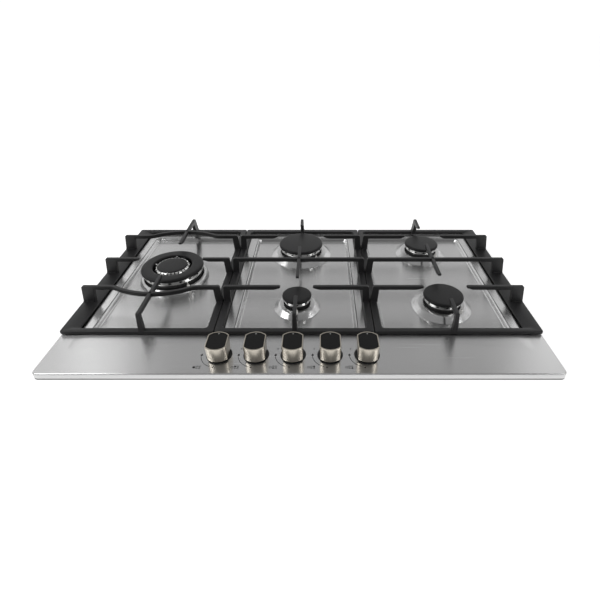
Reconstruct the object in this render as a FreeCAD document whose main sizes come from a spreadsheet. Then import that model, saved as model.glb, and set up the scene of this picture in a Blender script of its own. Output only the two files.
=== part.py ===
"""Built-in five-burner gas hob: pressed steel panel, cast pan supports, burners, taps and knobs.

Frame: +X to the right, +Y to the rear, +Z up, in millimetres. The origin is the centre of the panel's
outline in the plane of the worktop, which is the underside of the gasket. The control strip is at -Y.
"""
import FreeCAD, Part
import math
import os
import re

import Sketcher

V = FreeCAD.Vector

# Every driving dimension: its name in the sheet, its size and what it measures.
DIMENSIONS = [
    # panel
    ("panel_width", 860, "panel, left to right"),
    ("panel_depth", 510, "panel, front to rear"),
    ("panel_corner", 9, "corner radius of the panel in plan"),
    ("panel_top", 11, "panel's top face above the worktop"),
    ("steel", 1, "thickness of the panel's and the tray's sheet"),
    ("hem_width", 14, "return lip folded inwards under the panel's edge"),
    ("cut_out_clear", 0.5, "square cut-outs round a spindle, for spindles and electrodes alike"),
    ("gasket_thick", 2, "gasket between the lip and the worktop"),
    ("gasket_width", 10, "width of the gasket's ring"),
    # wells pressed into the panel under the pan supports
    ("well_side_margin", 49, "panel's side edges to the outer wells"),
    ("well_front_margin", 115, "panel's front edge to the wells"),
    ("well_rear_margin", 47, "panel's rear edge to the wells"),
    ("left_well_end", -188, "right edge of the left well"),
    ("centre_well_start", -124, "left edge of the centre well"),
    ("centre_well_end", 103, "right edge of the centre well"),
    ("right_well_start", 162, "left edge of the right well"),
    ("well_depth", 8, "depth of the wells"),
    ("well_slope", 9, "run of a well's sloped wall in plan"),
    ("well_corner", 28, "corner radius of a well at the top"),
    # burner places
    ("wok_x", -285, "wok burner"),
    ("wok_y", 43, "wok burner"),
    ("column_x", -12, "centre burners and the middle knob"),
    ("right_x", 273, "right burners"),
    ("front_y", -64, "front burners"),
    ("rear_y", 150, "rear burners"),
    # burners
    ("wok_cap", 65, "radius of the wok burner's ring cap"),
    ("wok_cap_hole", 41, "radius of the hole in the ring cap"),
    ("wok_core_cap", 32, "radius of the wok burner's inner cap"),
    ("wok_rise", 2, "wok burner's caps above the other caps"),
    ("rapid_cap", 51, "radius of the rapid burner's cap"),
    ("aux_cap", 28.5, "radius of the auxiliary burner's cap"),
    ("semi_cap", 38.5, "radius of the semi-rapid burners' caps"),
    ("wok_skirt", 9, "wok burner's skirt, from its hole to the well floor"),
    ("rapid_skirt", 21.5, "rapid burner's skirt"),
    ("aux_skirt", 18.5, "auxiliary burner's skirt"),
    ("semi_skirt", 21, "semi-rapid burners' skirts"),
    ("skirt_height", 9.5, "raised skirt above the well floor"),
    ("cap_overhang", 3, "cap beyond the crown's wall"),
    ("cap_thick", 6, "thickness of a cap"),
    ("crown_wall", 5, "wall of a crown"),
    ("crown_height", 16, "crown from its seat to the cap"),
    ("core_ring", 2.5, "wok burner's inner crown beyond its cap"),
    ("crown_gap", 1, "crown inside the skirt's hole"),
    ("land_share", 0.45, "flat share of a skirt's width"),
    ("port_width", 2.6, "width of a flame port"),
    ("port_rise", 7, "underside of the flame ports above the crown's seat"),
    ("wok_ports", 18, "flame ports in the wok burner's outer ring"),
    ("core_ports", 8, "flame ports in the wok burner's inner ring"),
    ("rapid_ports", 16, "flame ports of the rapid burner"),
    ("aux_ports", 8, "flame ports of the auxiliary burner"),
    ("semi_ports", 12, "flame ports of a semi-rapid burner"),
    # burner cups under the panel
    ("cup_rim", 1.5, "cup's rim above the skirt"),
    ("cup_bottom", -14, "underside of the cup's floor"),
    ("cup_set_back", 3, "cup's wall inside the skirt's hole"),
    ("bridge_width", 40, "burner bridge on the tray"),
    ("bridge_foot", 12, "foot of a burner bridge"),
    ("bridge_sheet", 2, "sheet of a burner bridge"),
    ("injector_head", 5.5, "injector's hexagon, centre to corner"),
    ("injector_height", 6, "injector above the cup"),
    # spark electrodes
    ("electrode_angle", -50, "electrode's bearing from +X, in degrees"),
    ("electrode_reach", 5.5, "electrode's axis beyond the cap's edge"),
    ("electrode_radius", 3, "ceramic of the electrode"),
    ("electrode_bottom", 0, "lower end of the ceramic"),
    ("electrode_top", 22, "upper end of the ceramic"),
    ("ear_width", 9, "cup's ear under an electrode"),
    ("ear_height", 3, "cup's ear under an electrode"),
    # pan supports
    ("support_front_margin", 95, "panel's front edge to the pan supports"),
    ("support_rear_margin", 3, "panel's rear edge to the pan supports"),
    ("left_split", -156, "joint between the left and centre pan supports"),
    ("right_split", 130.5, "joint between the centre and right pan supports"),
    ("split_gap", 1, "gap between two pan supports"),
    ("support_top", 55, "pan plane above the worktop"),
    ("foot_height", 4, "rubber feet under the pan supports"),
    ("foot_side", 9, "side of a rubber foot"),
    ("frame_height", 6, "pan support's frame"),
    ("frame_edge", 2, "chamfer round the frame's top"),
    ("outer_bar", 30, "frame's bar along the panel's side"),
    ("inner_bar", 14, "frame's bar along a neighbour"),
    ("front_bar", 12, "frame's front bar"),
    ("rear_bar", 15, "frame's rear bar"),
    ("finger_width", 6.5, "width of a finger"),
    ("finger_depth", 8, "depth of a finger"),
    ("tip_depth", 4, "depth of a finger at its tip"),
    ("tip_run", 12, "length of the bevel under a finger's tip"),
    ("outer_lean", 4, "lean of an outer post over its height"),
    ("outer_foot", 28, "outer post at its foot"),
    ("outer_head", 12, "outer post at its head"),
    ("inner_lean", 3.5, "lean of an inner post"),
    ("inner_foot", 14, "inner post at its foot"),
    ("inner_head", 13, "inner post at its head"),
    ("front_lean", 7, "lean of a front post"),
    ("front_foot", 12, "front post at its foot"),
    ("front_head", 10, "front post at its head"),
    ("rear_lean", 11, "lean of a rear post"),
    ("rear_foot", 15, "rear post at its foot"),
    ("rear_head", 12, "rear post at its head"),
    ("tip_clear", 3, "fingertip outside the cap below it"),
    ("arc_radius", 121, "bars bowed round the wok burner"),
    ("arc_bulge", 37, "bow of those bars beyond their straight line"),
    ("arc_blend", 20, "blend between bow and straight bar"),
    # knobs and taps
    ("knob_pitch", 62, "distance between knobs"),
    ("knob_inset", 45, "panel's front edge to the knob axes"),
    ("knob_radius", 23, "knob's round front and rear"),
    ("knob_flats", 35, "across the knob's flats"),
    ("knob_gap", 3.5, "knob above the panel"),
    ("knob_height", 29.5, "knob's body"),
    ("fit_gap", 0.05, "running clearance all round"),
    ("spindle_bottom", -10, "lower end of the spindle"),
    ("socket_depth", 15, "square socket in the spindle's lower end"),
    ("stem_side", 4, "square stem of the tap's plug"),
    ("stem_bottom", -23, "lower end of the stem"),
    ("stem_top", 0, "upper end of the stem"),
    ("spindle_radius", 4, "tap spindle"),
    ("tap_width", 22, "tap body, left to right"),
    ("tap_front", 12, "tap body in front of the spindle"),
    ("tap_rear", 20, "tap body behind the spindle"),
    ("tap_bottom", -30, "underside of the tap body"),
    ("tap_top", 2, "top of the tap body"),
    # gas supply
    ("pipe_z", -8, "axis of the gas pipes and tap outlets"),
    ("pipe_radius", 4, "gas pipes"),
    ("pipe_seat", 3, "pipe's end inside the tap and the cup"),
    ("rail_side", 16, "square gas rail"),
    ("rail_wall", 1.5, "wall of the gas rail"),
    ("rail_top", -16, "top face of the gas rail"),
    ("rail_start", -156, "left end of the gas rail"),
    ("inlet_inset", 56, "panel's right edge to the gas inlet's axis"),
    ("inlet_thread", 10.4775, "radius of the G 1/2 inlet thread"),
    ("inlet_shoulder", -31, "underside of the inlet's knuckle"),
    ("inlet_neck", 9, "radius of the undercut above the inlet thread"),
    ("inlet_relief", 2, "height of the undercut"),
    ("inlet_end", -46.5, "lower end of the inlet thread"),
    # tray and what is fixed to it
    ("tray_side_inset", 18, "panel's side edges to the tray"),
    ("tray_end_inset", 21, "panel's front and rear edges to the tray"),
    ("tray_bottom", -48, "underside of the tray"),
    ("rail_clear", 0.3, "clearance round the rail in the tray's recess"),
    ("recess_width", 90, "panel's right edge to the left side of the recess for the gas inlet"),
    ("recess_depth", 105, "panel's front edge to the rear side of the recess"),
    ("recess_clear", 3, "top of the recess above the rail"),
    ("bracket_inset", 130, "panel's side edges to the middle of the fixing brackets"),
    ("bracket_width", 20, "fixing bracket"),
    ("bracket_thick", 1.5, "fixing bracket"),
    ("bracket_top", -20, "upper end of the bracket's leg"),
    ("bracket_foot", -40, "underside of the bracket's foot"),
    ("bracket_reach", 20, "bracket's foot beyond the tray"),
    ("head_height", 2.6, "bracket screw's head"),
    ("head_radius", 4, "bracket screw's hexagon, centre to corner"),
    ("screw_z", -28, "axis of the bracket screws"),
    ("generator_x", 170, "left side of the spark generator"),
    ("generator_y", 40, "front of the spark generator"),
    ("generator_width", 70, "spark generator"),
    ("generator_depth", 42, "spark generator"),
    ("generator_height", 24, "spark generator"),
    ("terminal_x", -250, "left side of the mains terminal box"),
    ("terminal_width", 46, "mains terminal box"),
    ("terminal_depth", 26, "mains terminal box"),
    ("terminal_height", 24, "mains terminal box"),
    ("terminal_z", -40, "underside of the mains terminal box"),
    ("switch_width", 6, "ignition switch"),
    ("switch_depth", 14, "ignition switch"),
    ("switch_height", 12, "ignition switch"),
]

# Every size and place that follows from others: its name in the sheet, its formula and what it is.
DERIVED = [
    ("cut_out", "=2 * (spindle_radius + cut_out_clear)", "side of the square cut-outs"),
    ("well_front", "=well_front_margin - panel_depth / 2", "front edge of the wells"),
    ("well_rear", "=panel_depth / 2 - well_rear_margin", "rear edge of the wells"),
    ("left_well_start", "=well_side_margin - panel_width / 2", "left edge of the left well"),
    ("right_well_end", "=panel_width / 2 - well_side_margin", "right edge of the right well"),
    ("support_front", "=support_front_margin - panel_depth / 2", "front edge of the pan supports"),
    ("support_rear", "=panel_depth / 2 - support_rear_margin", "rear edge of the pan supports"),
    ("knob_y", "=knob_inset - panel_depth / 2", "knob axes"),
    ("inlet_x", "=panel_width / 2 - inlet_inset", "axis of the gas inlet"),
    ("tray_side", "=panel_width / 2 - tray_side_inset", "right side of the tray, and its left side mirrored"),
    ("tray_end", "=panel_depth / 2 - tray_end_inset", "rear of the tray, and its front mirrored"),
    ("recess_start", "=panel_width / 2 - recess_width", "left side of the recess for the gas inlet"),
    ("recess_rear", "=recess_depth - panel_depth / 2", "rear side of the recess"),
    ("recess_top", "=rail_top + recess_clear", "top of the recess"),
    ("bracket_x", "=panel_width / 2 - bracket_inset", "fixing brackets left and right of the centre"),
]

doc = FreeCAD.newDocument("GasHob")
dims = doc.addObject("Spreadsheet::Sheet", "Dims")
for row, (alias, content, meaning) in enumerate(DIMENSIONS + DERIVED, start=1):
    dims.set(f"A{row}", meaning)
    dims.set(f"B{row}", str(content))
    dims.setAlias(f"B{row}", alias)
doc.recompute()

NAMES = {alias for alias, _, _ in DIMENSIONS + DERIVED}

# How far a cutting sketch runs past the solid that it opens, and how near two points count as one.
OVERCUT = 1
SAME_POINT = 1e-6

# Sides of the regular outlines that stand for circles on pieces that come many times.
CAP_SIDES = 48
CUP_SIDES = 24
ROD_SIDES = 12
PIPE_SIDES = 8
HEXAGON = 6

# Levels and places that follow from the driving dimensions, as expressions.
FLOOR = "(panel_top - well_depth)"
LAND = "(panel_top - well_depth + skirt_height)"
SEAT = "(panel_top - well_depth + skirt_height + cup_rim)"
CROWN_TOP = f"({SEAT} + crown_height)"
FRAME_FOOT = "(panel_top + foot_height)"
FINGER_UNDER = "(support_top - finger_depth)"
TRAY_FLOOR = "(tray_bottom + steel)"
KNOB_BASE = "(panel_top + knob_gap)"
TAP_REAR = "(knob_y + tap_rear)"
RAIL_Y = f"({TAP_REAR} + rail_side / 2)"

subparts = []


def bound(text):
    """The expression with each size's name pointing into the sheet."""
    return re.sub(r"[A-Za-z_]+", lambda word: f"Dims.{word[0]}" if word[0] in NAMES else word[0], str(text))


def size(text):
    """The number that an expression stands for now."""
    return float(dims.evalExpression(bound(text)))


def bind(thing, prop, text):
    """Tie a property of an object to an expression."""
    thing.setExpression(prop, bound(text))


def place(thing, x="0", y="0", z="0", turn=None):
    """Put an object at a point, turned about the vertical where asked."""
    for axis, text in zip("xyz", (x, y, z)):
        bind(thing, f"Placement.Base.{axis}", text)
    if turn is not None:
        bind(thing, "Placement.Rotation.Angle", turn)


def keep(thing, label):
    """Name a finished sub-part."""
    thing.Label = label
    subparts.append(thing)
    return thing


# ---------------------------------------------------------------- sketches


def new_body(name):
    body = doc.addObject("PartDesign::Body", name)
    body.AllowCompound = True
    return body


def draw(body, name, role="XY_Plane", level="0"):
    """A sketch on one of the body's own planes, lifted along that plane's normal."""
    sketch = body.newObject("Sketcher::SketchObject", name)
    plane = next(item for item in body.Origin.OriginFeatures if item.Role == role)
    sketch.AttachmentSupport = (plane, "")
    sketch.MapMode = "FlatFace"
    bind(sketch, "AttachmentOffset.Base.z", level)
    return sketch


def constrain(sketch, kind, *where, to=None):
    """Add a constraint, and tie it to an expression if it has a size."""
    if to is None:
        sketch.addConstraint(Sketcher.Constraint(kind, *where))
        return
    index = sketch.addConstraint(Sketcher.Constraint(kind, *where, size(to)))
    bind(sketch, f"Constraints[{index}]", to)


def polygon(sketch, corners):
    """A closed outline whose corners are placed by pairs of expressions."""
    points = [V(size(x), size(y), 0) for x, y in corners]
    count = len(points)
    sides = range(sketch.GeometryCount, sketch.GeometryCount + count)
    sketch.addGeometry([Part.LineSegment(points[index - 1], points[index]) for index in range(count)], False)
    joints = [Sketcher.Constraint("Coincident", sides[index - 1], 2, sides[index], 1) for index in range(count)]
    places, texts = [], []
    for side, point, corner in zip(sides, points, corners):
        places.append(Sketcher.Constraint("DistanceX", side, 2, point.x))
        places.append(Sketcher.Constraint("DistanceY", side, 2, point.y))
        texts.extend(corner)
    sketch.addConstraint(joints)
    start = sketch.ConstraintCount
    sketch.addConstraint(places)
    for index, text in enumerate(texts, start=start):
        bind(sketch, f"Constraints[{index}]", text)


def rectangle(sketch, left, right, low, high):
    polygon(sketch, [(left, low), (right, low), (right, high), (left, high)])


def rounded_rectangle(sketch, left, right, front, rear, corner):
    """Four sides joined by tangent arcs of one radius."""
    x_low, x_high, y_low, y_high, radius = (size(item) for item in (left, right, front, rear, corner))
    first = sketch.GeometryCount
    ends = [
        (V(x_low + radius, y_low, 0), V(x_high - radius, y_low, 0)),
        (V(x_high, y_low + radius, 0), V(x_high, y_high - radius, 0)),
        (V(x_high - radius, y_high, 0), V(x_low + radius, y_high, 0)),
        (V(x_low, y_high - radius, 0), V(x_low, y_low + radius, 0)),
    ]
    centres = [
        V(x_high - radius, y_low + radius, 0),
        V(x_high - radius, y_high - radius, 0),
        V(x_low + radius, y_high - radius, 0),
        V(x_low + radius, y_low + radius, 0),
    ]
    for start, end in ends:
        sketch.addGeometry(Part.LineSegment(start, end), False)
    for turn, centre in enumerate(centres):
        begin = math.radians(90 * turn - 90)
        circle = Part.Circle(centre, V(0, 0, 1), radius)
        sketch.addGeometry(Part.ArcOfCircle(circle, begin, begin + math.pi / 2), False)
    for turn in range(4):
        line, arc, following = first + turn, first + 4 + turn, first + (turn + 1) % 4
        constrain(sketch, "Tangent", line, 2, arc, 1)
        constrain(sketch, "Tangent", arc, 2, following, 1)
        constrain(sketch, ("Horizontal", "Vertical")[turn % 2], line)
        if turn:
            constrain(sketch, "Equal", first + 4, arc)
    constrain(sketch, "DistanceY", first, 1, to=front)
    constrain(sketch, "DistanceX", first + 1, 1, to=right)
    constrain(sketch, "DistanceY", first + 2, 1, to=rear)
    constrain(sketch, "DistanceX", first + 3, 1, to=left)
    constrain(sketch, "Radius", first + 4, to=corner)


def regular(sketch, x, y, radius, sides):
    """A regular outline in a circle about a point, with a flat side on its right."""
    bearings = [(2 * side + 1) * 180 / sides for side in range(sides)]
    polygon(sketch, [(f"{x} + {radius} * cos({bearing})", f"{y} + {radius} * sin({bearing})")
                     for bearing in bearings])


def circle(sketch, x, y, radius):
    index = sketch.addGeometry(Part.Circle(V(size(x), size(y), 0), V(0, 0, 1), size(radius)), False)
    constrain(sketch, "DistanceX", index, 3, to=x)
    constrain(sketch, "DistanceY", index, 3, to=y)
    constrain(sketch, "Radius", index, to=radius)


def truncated_circle(sketch, radius, flats):
    """A circle about the origin, cut by a flat on its left and its right."""
    reach, half = size(radius), size(flats) / 2
    corner = math.acos(half / reach)
    rise = reach * math.sin(corner)
    whole = Part.Circle(V(0, 0, 0), V(0, 0, 1), reach)
    right = sketch.addGeometry(Part.LineSegment(V(half, -rise, 0), V(half, rise, 0)), False)
    rear = sketch.addGeometry(Part.ArcOfCircle(whole, corner, math.pi - corner), False)
    left = sketch.addGeometry(Part.LineSegment(V(-half, rise, 0), V(-half, -rise, 0)), False)
    front = sketch.addGeometry(Part.ArcOfCircle(whole, math.pi + corner, 2 * math.pi - corner), False)
    for one, other in ((right, rear), (rear, left), (left, front), (front, right)):
        constrain(sketch, "Coincident", one, 2, other, 1)
    for arc in (rear, front):
        constrain(sketch, "Coincident", arc, 3, -1, 1)
    constrain(sketch, "Radius", rear, to=radius)
    constrain(sketch, "Vertical", right)
    constrain(sketch, "Vertical", left)
    constrain(sketch, "DistanceX", right, 1, to=f"({flats}) / 2")
    constrain(sketch, "DistanceX", left, 1, to=f"-({flats}) / 2")


# ---------------------------------------------------------------- features


def pad(body, sketch, name, length, both_ways=False):
    """Raise a sketch along its normal, or to both sides of its plane."""
    feature = body.newObject("PartDesign::Pad", name)
    feature.Profile = sketch
    bind(feature, "Length", length)
    feature.SideType = "Symmetric" if both_ways else "One side"
    return feature


def cut(body, sketch, name, depth):
    """Pocket a sketch along its normal."""
    feature = body.newObject("PartDesign::Pocket", name)
    feature.Profile = sketch
    bind(feature, "Length", depth)
    feature.Reversed = True
    return feature


def revolve(body, sketch, name, axis="V_Axis"):
    """A full turn of a sketch about its own upright axis, or about a line in it."""
    feature = body.newObject("PartDesign::Revolution", name)
    feature.Profile = sketch
    feature.ReferenceAxis = (sketch, [axis])
    feature.Angle = 360
    return feature


def loft(body, name, kind, low, high):
    """A ruled loft between two sketches, added or subtracted."""
    feature = body.newObject(f"PartDesign::{kind}Loft", name)
    feature.Profile = low
    feature.Sections = [high]
    feature.Ruled = True
    return feature


def around(body, feature, name, count):
    """Repeat a feature about the body's vertical axis."""
    pattern = body.newObject("PartDesign::PolarPattern", name)
    pattern.Originals = [feature]
    upright = next(item for item in body.Origin.OriginFeatures if item.Role == "Z_Axis")
    pattern.Axis = (upright, [""])
    pattern.Angle = 360
    bind(pattern, "Occurrences", count)
    body.Tip = pattern
    return pattern


def chamfer(body, base, name, width, wanted):
    """Bevel those edges of the base feature that pass a test."""
    doc.recompute()
    picked = [f"Edge{index}" for index, edge in enumerate(base.Shape.Edges, start=1) if wanted(edge)]
    feature = body.newObject("PartDesign::Chamfer", name)
    feature.Base = (base, picked)
    bind(feature, "Size", width)
    return feature


# ---------------------------------------------------------------- primitives


def box(name, x, y, z, length, width, height):
    solid = doc.addObject("Part::Box", name)
    for prop, text in (("Length", length), ("Width", width), ("Height", height)):
        bind(solid, prop, text)
    place(solid, x, y, z)
    return solid


def cylinder(name, x, y, z, radius, height):
    """A cylinder that stands on a point."""
    solid = doc.addObject("Part::Cylinder", name)
    bind(solid, "Radius", radius)
    bind(solid, "Height", height)
    place(solid, x, y, z)
    return solid


TO_REAR = FreeCAD.Rotation(V(1, 0, 0), -90)


def prism(name, x, y, z, radius, height, sides, lying=False):
    """A regular prism that stands on a point, or lies from there to the rear."""
    solid = doc.addObject("Part::Prism", name)
    solid.Polygon = sides
    if lying:
        solid.Placement = FreeCAD.Placement(V(0, 0, 0), TO_REAR)
    bind(solid, "Circumradius", radius)
    bind(solid, "Height", height)
    place(solid, x, y, z)
    return solid


def fuse(name, *solids):
    joined = doc.addObject("Part::MultiFuse", name)
    joined.Shapes = list(solids)
    return joined


def subtract(name, base, *tools):
    result = doc.addObject("Part::Cut", name)
    result.Base = base
    result.Tool = tools[0] if len(tools) == 1 else fuse(f"{name}Tools", *tools)
    return result


def group(name, solids):
    """Several separate solids of one kind, as one sub-part."""
    compound = doc.addObject("Part::Compound", name)
    compound.Links = list(solids)
    return compound


# ---------------------------------------------------------------- burners


class Burner:
    """Where a burner stands, and the sizes that its pieces share."""

    def __init__(self, name, x, y, cap, skirt_width, ports, rise="0", electrode="electrode_angle"):
        self.name = name
        self.x = x
        self.y = y
        self.cap = cap
        self.skirt_width = skirt_width
        self.ports = ports
        self.rise = rise
        self.electrode = electrode
        self.wall = f"({cap} - cap_overhang)"
        self.hole = f"({self.wall} + crown_gap)"
        self.skirt = f"({self.hole} + {skirt_width})"
        self.bowl = f"({self.hole} - cup_set_back)"
        self.reach = f"({cap} + electrode_reach)"
        self.top = f"({CROWN_TOP} + {rise})"

    def electrode_at(self):
        """The electrode's axis, as expressions in X and Y."""
        x = f"{self.x} + {self.reach} * cos({self.electrode})"
        y = f"{self.y} + {self.reach} * sin({self.electrode})"
        return x, y


WOK = Burner("wok", "wok_x", "wok_y", "wok_cap", "wok_skirt", "wok_ports", rise="wok_rise")
RAPID = Burner("rapid", "column_x", "rear_y", "rapid_cap", "rapid_skirt", "rapid_ports")
AUX = Burner("auxiliary", "column_x", "front_y", "aux_cap", "aux_skirt", "aux_ports", electrode="-90")
SEMI_REAR = Burner("semi_rear", "right_x", "rear_y", "semi_cap", "semi_skirt", "semi_ports")
SEMI_FRONT = Burner("semi_front", "right_x", "front_y", "semi_cap", "semi_skirt", "semi_ports")
BURNERS = (WOK, RAPID, AUX, SEMI_REAR, SEMI_FRONT)


def make_ring(name, burner, outer, ports):
    """A ring of a flame spreader, open to the cap, with slots cut through its wall from the cap down.

    Inside, the wall has two flats to each slot, and each slot lies in the middle of one.
    """
    body = new_body(name)
    inner = f"({outer} - crown_wall)"
    outline = draw(body, f"{name}Outline", level=SEAT)
    circle(outline, "0", "0", outer)
    regular(outline, "0", "0", inner, 2 * int(size(ports)))
    pad(body, outline, f"{name}Wall", f"{burner.top} - {SEAT}")
    sill = f"({SEAT} + port_rise)"
    slot = draw(body, f"{name}PortOutline", "YZ_Plane", f"{inner} - {OVERCUT}")
    rectangle(slot, "-port_width / 2", "port_width / 2", sill, f"{burner.top} + {OVERCUT}")
    port = cut(body, slot, f"{name}Port", f"crown_wall + 2 * {OVERCUT}")
    around(body, port, f"{name}Ports", ports)
    place(body, burner.x, burner.y)
    return body


def make_crown(burner):
    """The aluminium flame spreader that stands on the cup; the wok burner's has a second ring inside."""
    rings = [make_ring(f"{burner.name.title()}Crown", burner, burner.wall, burner.ports)]
    if burner is WOK:
        rings.append(make_ring("WokCore", burner, "(wok_core_cap + core_ring)", "core_ports"))
    return rings


def make_cap(label, burner, radius, hole=None):
    """An enamelled cap that lies on the crown."""
    body = new_body(label.title().replace("_", ""))
    outline = draw(body, f"{label}Outline", level=burner.top)
    regular(outline, "0", "0", radius, CAP_SIDES)
    if hole:
        regular(outline, "0", "0", hole, CAP_SIDES)
    pad(body, outline, f"{label}Disc", "cap_thick")
    place(body, burner.x, burner.y)
    return keep(body, label)


def make_cup(burner):
    """The cup under the crown, with an ear that carries the electrode."""
    body = new_body(f"{burner.name.title()}Cup")
    ear = draw(body, f"{burner.name}EarOutline", level="electrode_bottom - ear_height")
    rectangle(ear, "0", f"{burner.reach} + ear_width / 2", "-ear_width / 2", "ear_width / 2")
    pad(body, ear, f"{burner.name}Ear", "ear_height")
    pot = draw(body, f"{burner.name}CupOutline", level="cup_bottom")
    regular(pot, "0", "0", burner.bowl, CUP_SIDES)
    pad(body, pot, f"{burner.name}Pot", f"{SEAT} - cup_bottom")
    place(body, burner.x, burner.y, turn=burner.electrode)
    return body


def make_bridge(burner):
    """A bridge of bent sheet that carries the cup on the tray."""
    body = new_body(f"{burner.name.title()}Bridge")
    half = f"({burner.bowl} - bridge_foot)"
    outline = draw(body, f"{burner.name}BridgeOutline", "XZ_Plane")
    outer = [
        (f"-{half} - bridge_foot", TRAY_FLOOR),
        (f"-{half} + bridge_sheet", TRAY_FLOOR),
        (f"-{half} + bridge_sheet", "cup_bottom - bridge_sheet"),
        (f"{half} - bridge_sheet", "cup_bottom - bridge_sheet"),
        (f"{half} - bridge_sheet", TRAY_FLOOR),
        (f"{half} + bridge_foot", TRAY_FLOOR),
        (f"{half} + bridge_foot", f"{TRAY_FLOOR} + bridge_sheet"),
        (half, f"{TRAY_FLOOR} + bridge_sheet"),
        (half, "cup_bottom"),
        (f"-{half}", "cup_bottom"),
        (f"-{half}", f"{TRAY_FLOOR} + bridge_sheet"),
        (f"-{half} - bridge_foot", f"{TRAY_FLOOR} + bridge_sheet"),
    ]
    polygon(outline, outer)
    pad(body, outline, f"{burner.name}BridgeSheet", "bridge_width", both_ways=True)
    place(body, burner.x, burner.y)
    return body


def make_injector(burner):
    """The hexagon of the brass injector in the middle of the cup."""
    return prism(f"{burner.name}Injector", burner.x, burner.y, SEAT, "injector_head", "injector_height", HEXAGON)


def make_electrode(burner):
    """The white ceramic of a spark electrode, standing on the cup's ear."""
    x, y = burner.electrode_at()
    return prism(f"{burner.name}Ceramic", x, y, "electrode_bottom", "electrode_radius",
                 "electrode_top - electrode_bottom", ROD_SIDES)


# ---------------------------------------------------------------- panel, gasket and tray


def make_panel():
    """The pressed panel: turned-down edge with a return lip, three wells and five raised skirts."""
    body = new_body("Panel")
    half_x, half_y = "panel_width / 2", "panel_depth / 2"
    blank = draw(body, "BlankOutline", level="gasket_thick")
    rounded_rectangle(blank, f"-{half_x}", half_x, f"-{half_y}", half_y, "panel_corner")
    pad(body, blank, "Blank", "panel_top - gasket_thick")
    inside = draw(body, "InsideOutline", level="gasket_thick + steel")
    rounded_rectangle(inside, f"steel - {half_x}", f"{half_x} - steel", f"steel - {half_y}",
                      f"{half_y} - steel", "panel_corner - steel")
    cut(body, inside, "Inside", "panel_top - gasket_thick - 2 * steel")
    mouth = draw(body, "MouthOutline", level="gasket_thick")
    rectangle(mouth, f"hem_width - {half_x}", f"{half_x} - hem_width", f"hem_width - {half_y}",
              f"{half_y} - hem_width")
    cut(body, mouth, "Mouth", "steel")

    # the wall of a well is the sheet's thickness, so its outside stands this much further out in plan
    side = "(steel * sqrt(1 + pow(well_slope / well_depth; 2)) - steel * well_slope / well_depth)"
    wells = (("Left", "left_well_start", "left_well_end"), ("Centre", "centre_well_start", "centre_well_end"),
             ("Right", "right_well_start", "right_well_end"))

    def outside(name, start, end, inset, level):
        sketch = draw(body, name, level=level)
        rectangle(sketch, f"{start} + {inset}", f"{end} - {inset}", f"well_front + {inset}",
                  f"well_rear - {inset}")
        return sketch

    def hollow(name, start, end, inset, level):
        sketch = draw(body, name, level=level)
        rounded_rectangle(sketch, f"{start} + {inset}", f"{end} - {inset}", f"well_front + {inset}",
                          f"well_rear - {inset}", f"well_corner - {inset}")
        return sketch

    for name, start, end in wells:
        low = outside(f"{name}PanLow", start, end, f"(well_slope - {side})", f"{FLOOR} - steel")
        high = outside(f"{name}PanHigh", start, end, f"(-{side})", "panel_top - steel")
        loft(body, f"{name}Pan", "Additive", low, high)
        low = hollow(f"{name}WellLow", start, end, "well_slope", FLOOR)
        high = hollow(f"{name}WellHigh", start, end, "0", "panel_top")
        loft(body, f"{name}Well", "Subtractive", low, high)

    openings = draw(body, "SkirtOpenings", level=f"{FLOOR} - 2 * steel")
    for burner in BURNERS:
        circle(openings, burner.x, burner.y, f"{burner.skirt} - steel")
    cut(body, openings, "SkirtOpening", "4 * steel")
    for burner in BURNERS:
        land = f"({burner.hole} + land_share * {burner.skirt_width})"
        profile = draw(body, f"{burner.name}SkirtProfile", "XZ_Plane", f"-{burner.y}")
        upright = sketch_axis(profile, burner.x)
        polygon(profile, [(f"{burner.x} + {radius}", level) for radius, level in (
            (f"({burner.skirt} - steel)", f"{FLOOR} - steel"),
            (burner.skirt, f"{FLOOR} - steel"),
            (burner.skirt, FLOOR),
            (land, LAND),
            (burner.hole, LAND),
            (burner.hole, f"{LAND} - steel"),
            (f"({land} - steel / 2)", f"{LAND} - steel"),
        )])
        revolve(body, profile, f"{burner.name}Skirt", upright)
    cut_outs = draw(body, "CutOuts", level=f"{FLOOR} - 2 * steel")
    for index in range(len(TAPS)):
        square(cut_outs, knob_x(index), "knob_y")
    for burner in BURNERS:
        square(cut_outs, *burner.electrode_at())
    cut(body, cut_outs, "CutOut", "skirt_height + 3 * steel")
    return keep(body, "hob_panel")


def square(sketch, x, y):
    """A square cut-out in the panel round a point."""
    rectangle(sketch, f"{x} - cut_out / 2", f"{x} + cut_out / 2", f"{y} - cut_out / 2", f"{y} + cut_out / 2")


def sketch_axis(sketch, x):
    """An upright construction line through x, for a revolve about it."""
    line = Part.LineSegment(V(size(x), 0, 0), V(size(x), 10, 0))
    index = sketch.addGeometry(line, True)
    constrain(sketch, "Vertical", index)
    constrain(sketch, "DistanceX", index, 1, to=x)
    constrain(sketch, "DistanceY", index, 1, to="0")
    constrain(sketch, "DistanceY", index, 2, to="10")
    return "Axis0"


def make_gasket():
    """Foam strip between the panel's lip and the worktop, flush with the panel's edge."""
    body = new_body("Gasket")
    ring = draw(body, "GasketOutline")
    rounded_rectangle(ring, "-panel_width / 2", "panel_width / 2", "-panel_depth / 2", "panel_depth / 2",
                      "panel_corner")
    rectangle(ring, "gasket_width - panel_width / 2", "panel_width / 2 - gasket_width",
              "gasket_width - panel_depth / 2", "panel_depth / 2 - gasket_width")
    pad(body, ring, "GasketRing", "gasket_thick")
    return keep(body, "worktop_gasket")


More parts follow.
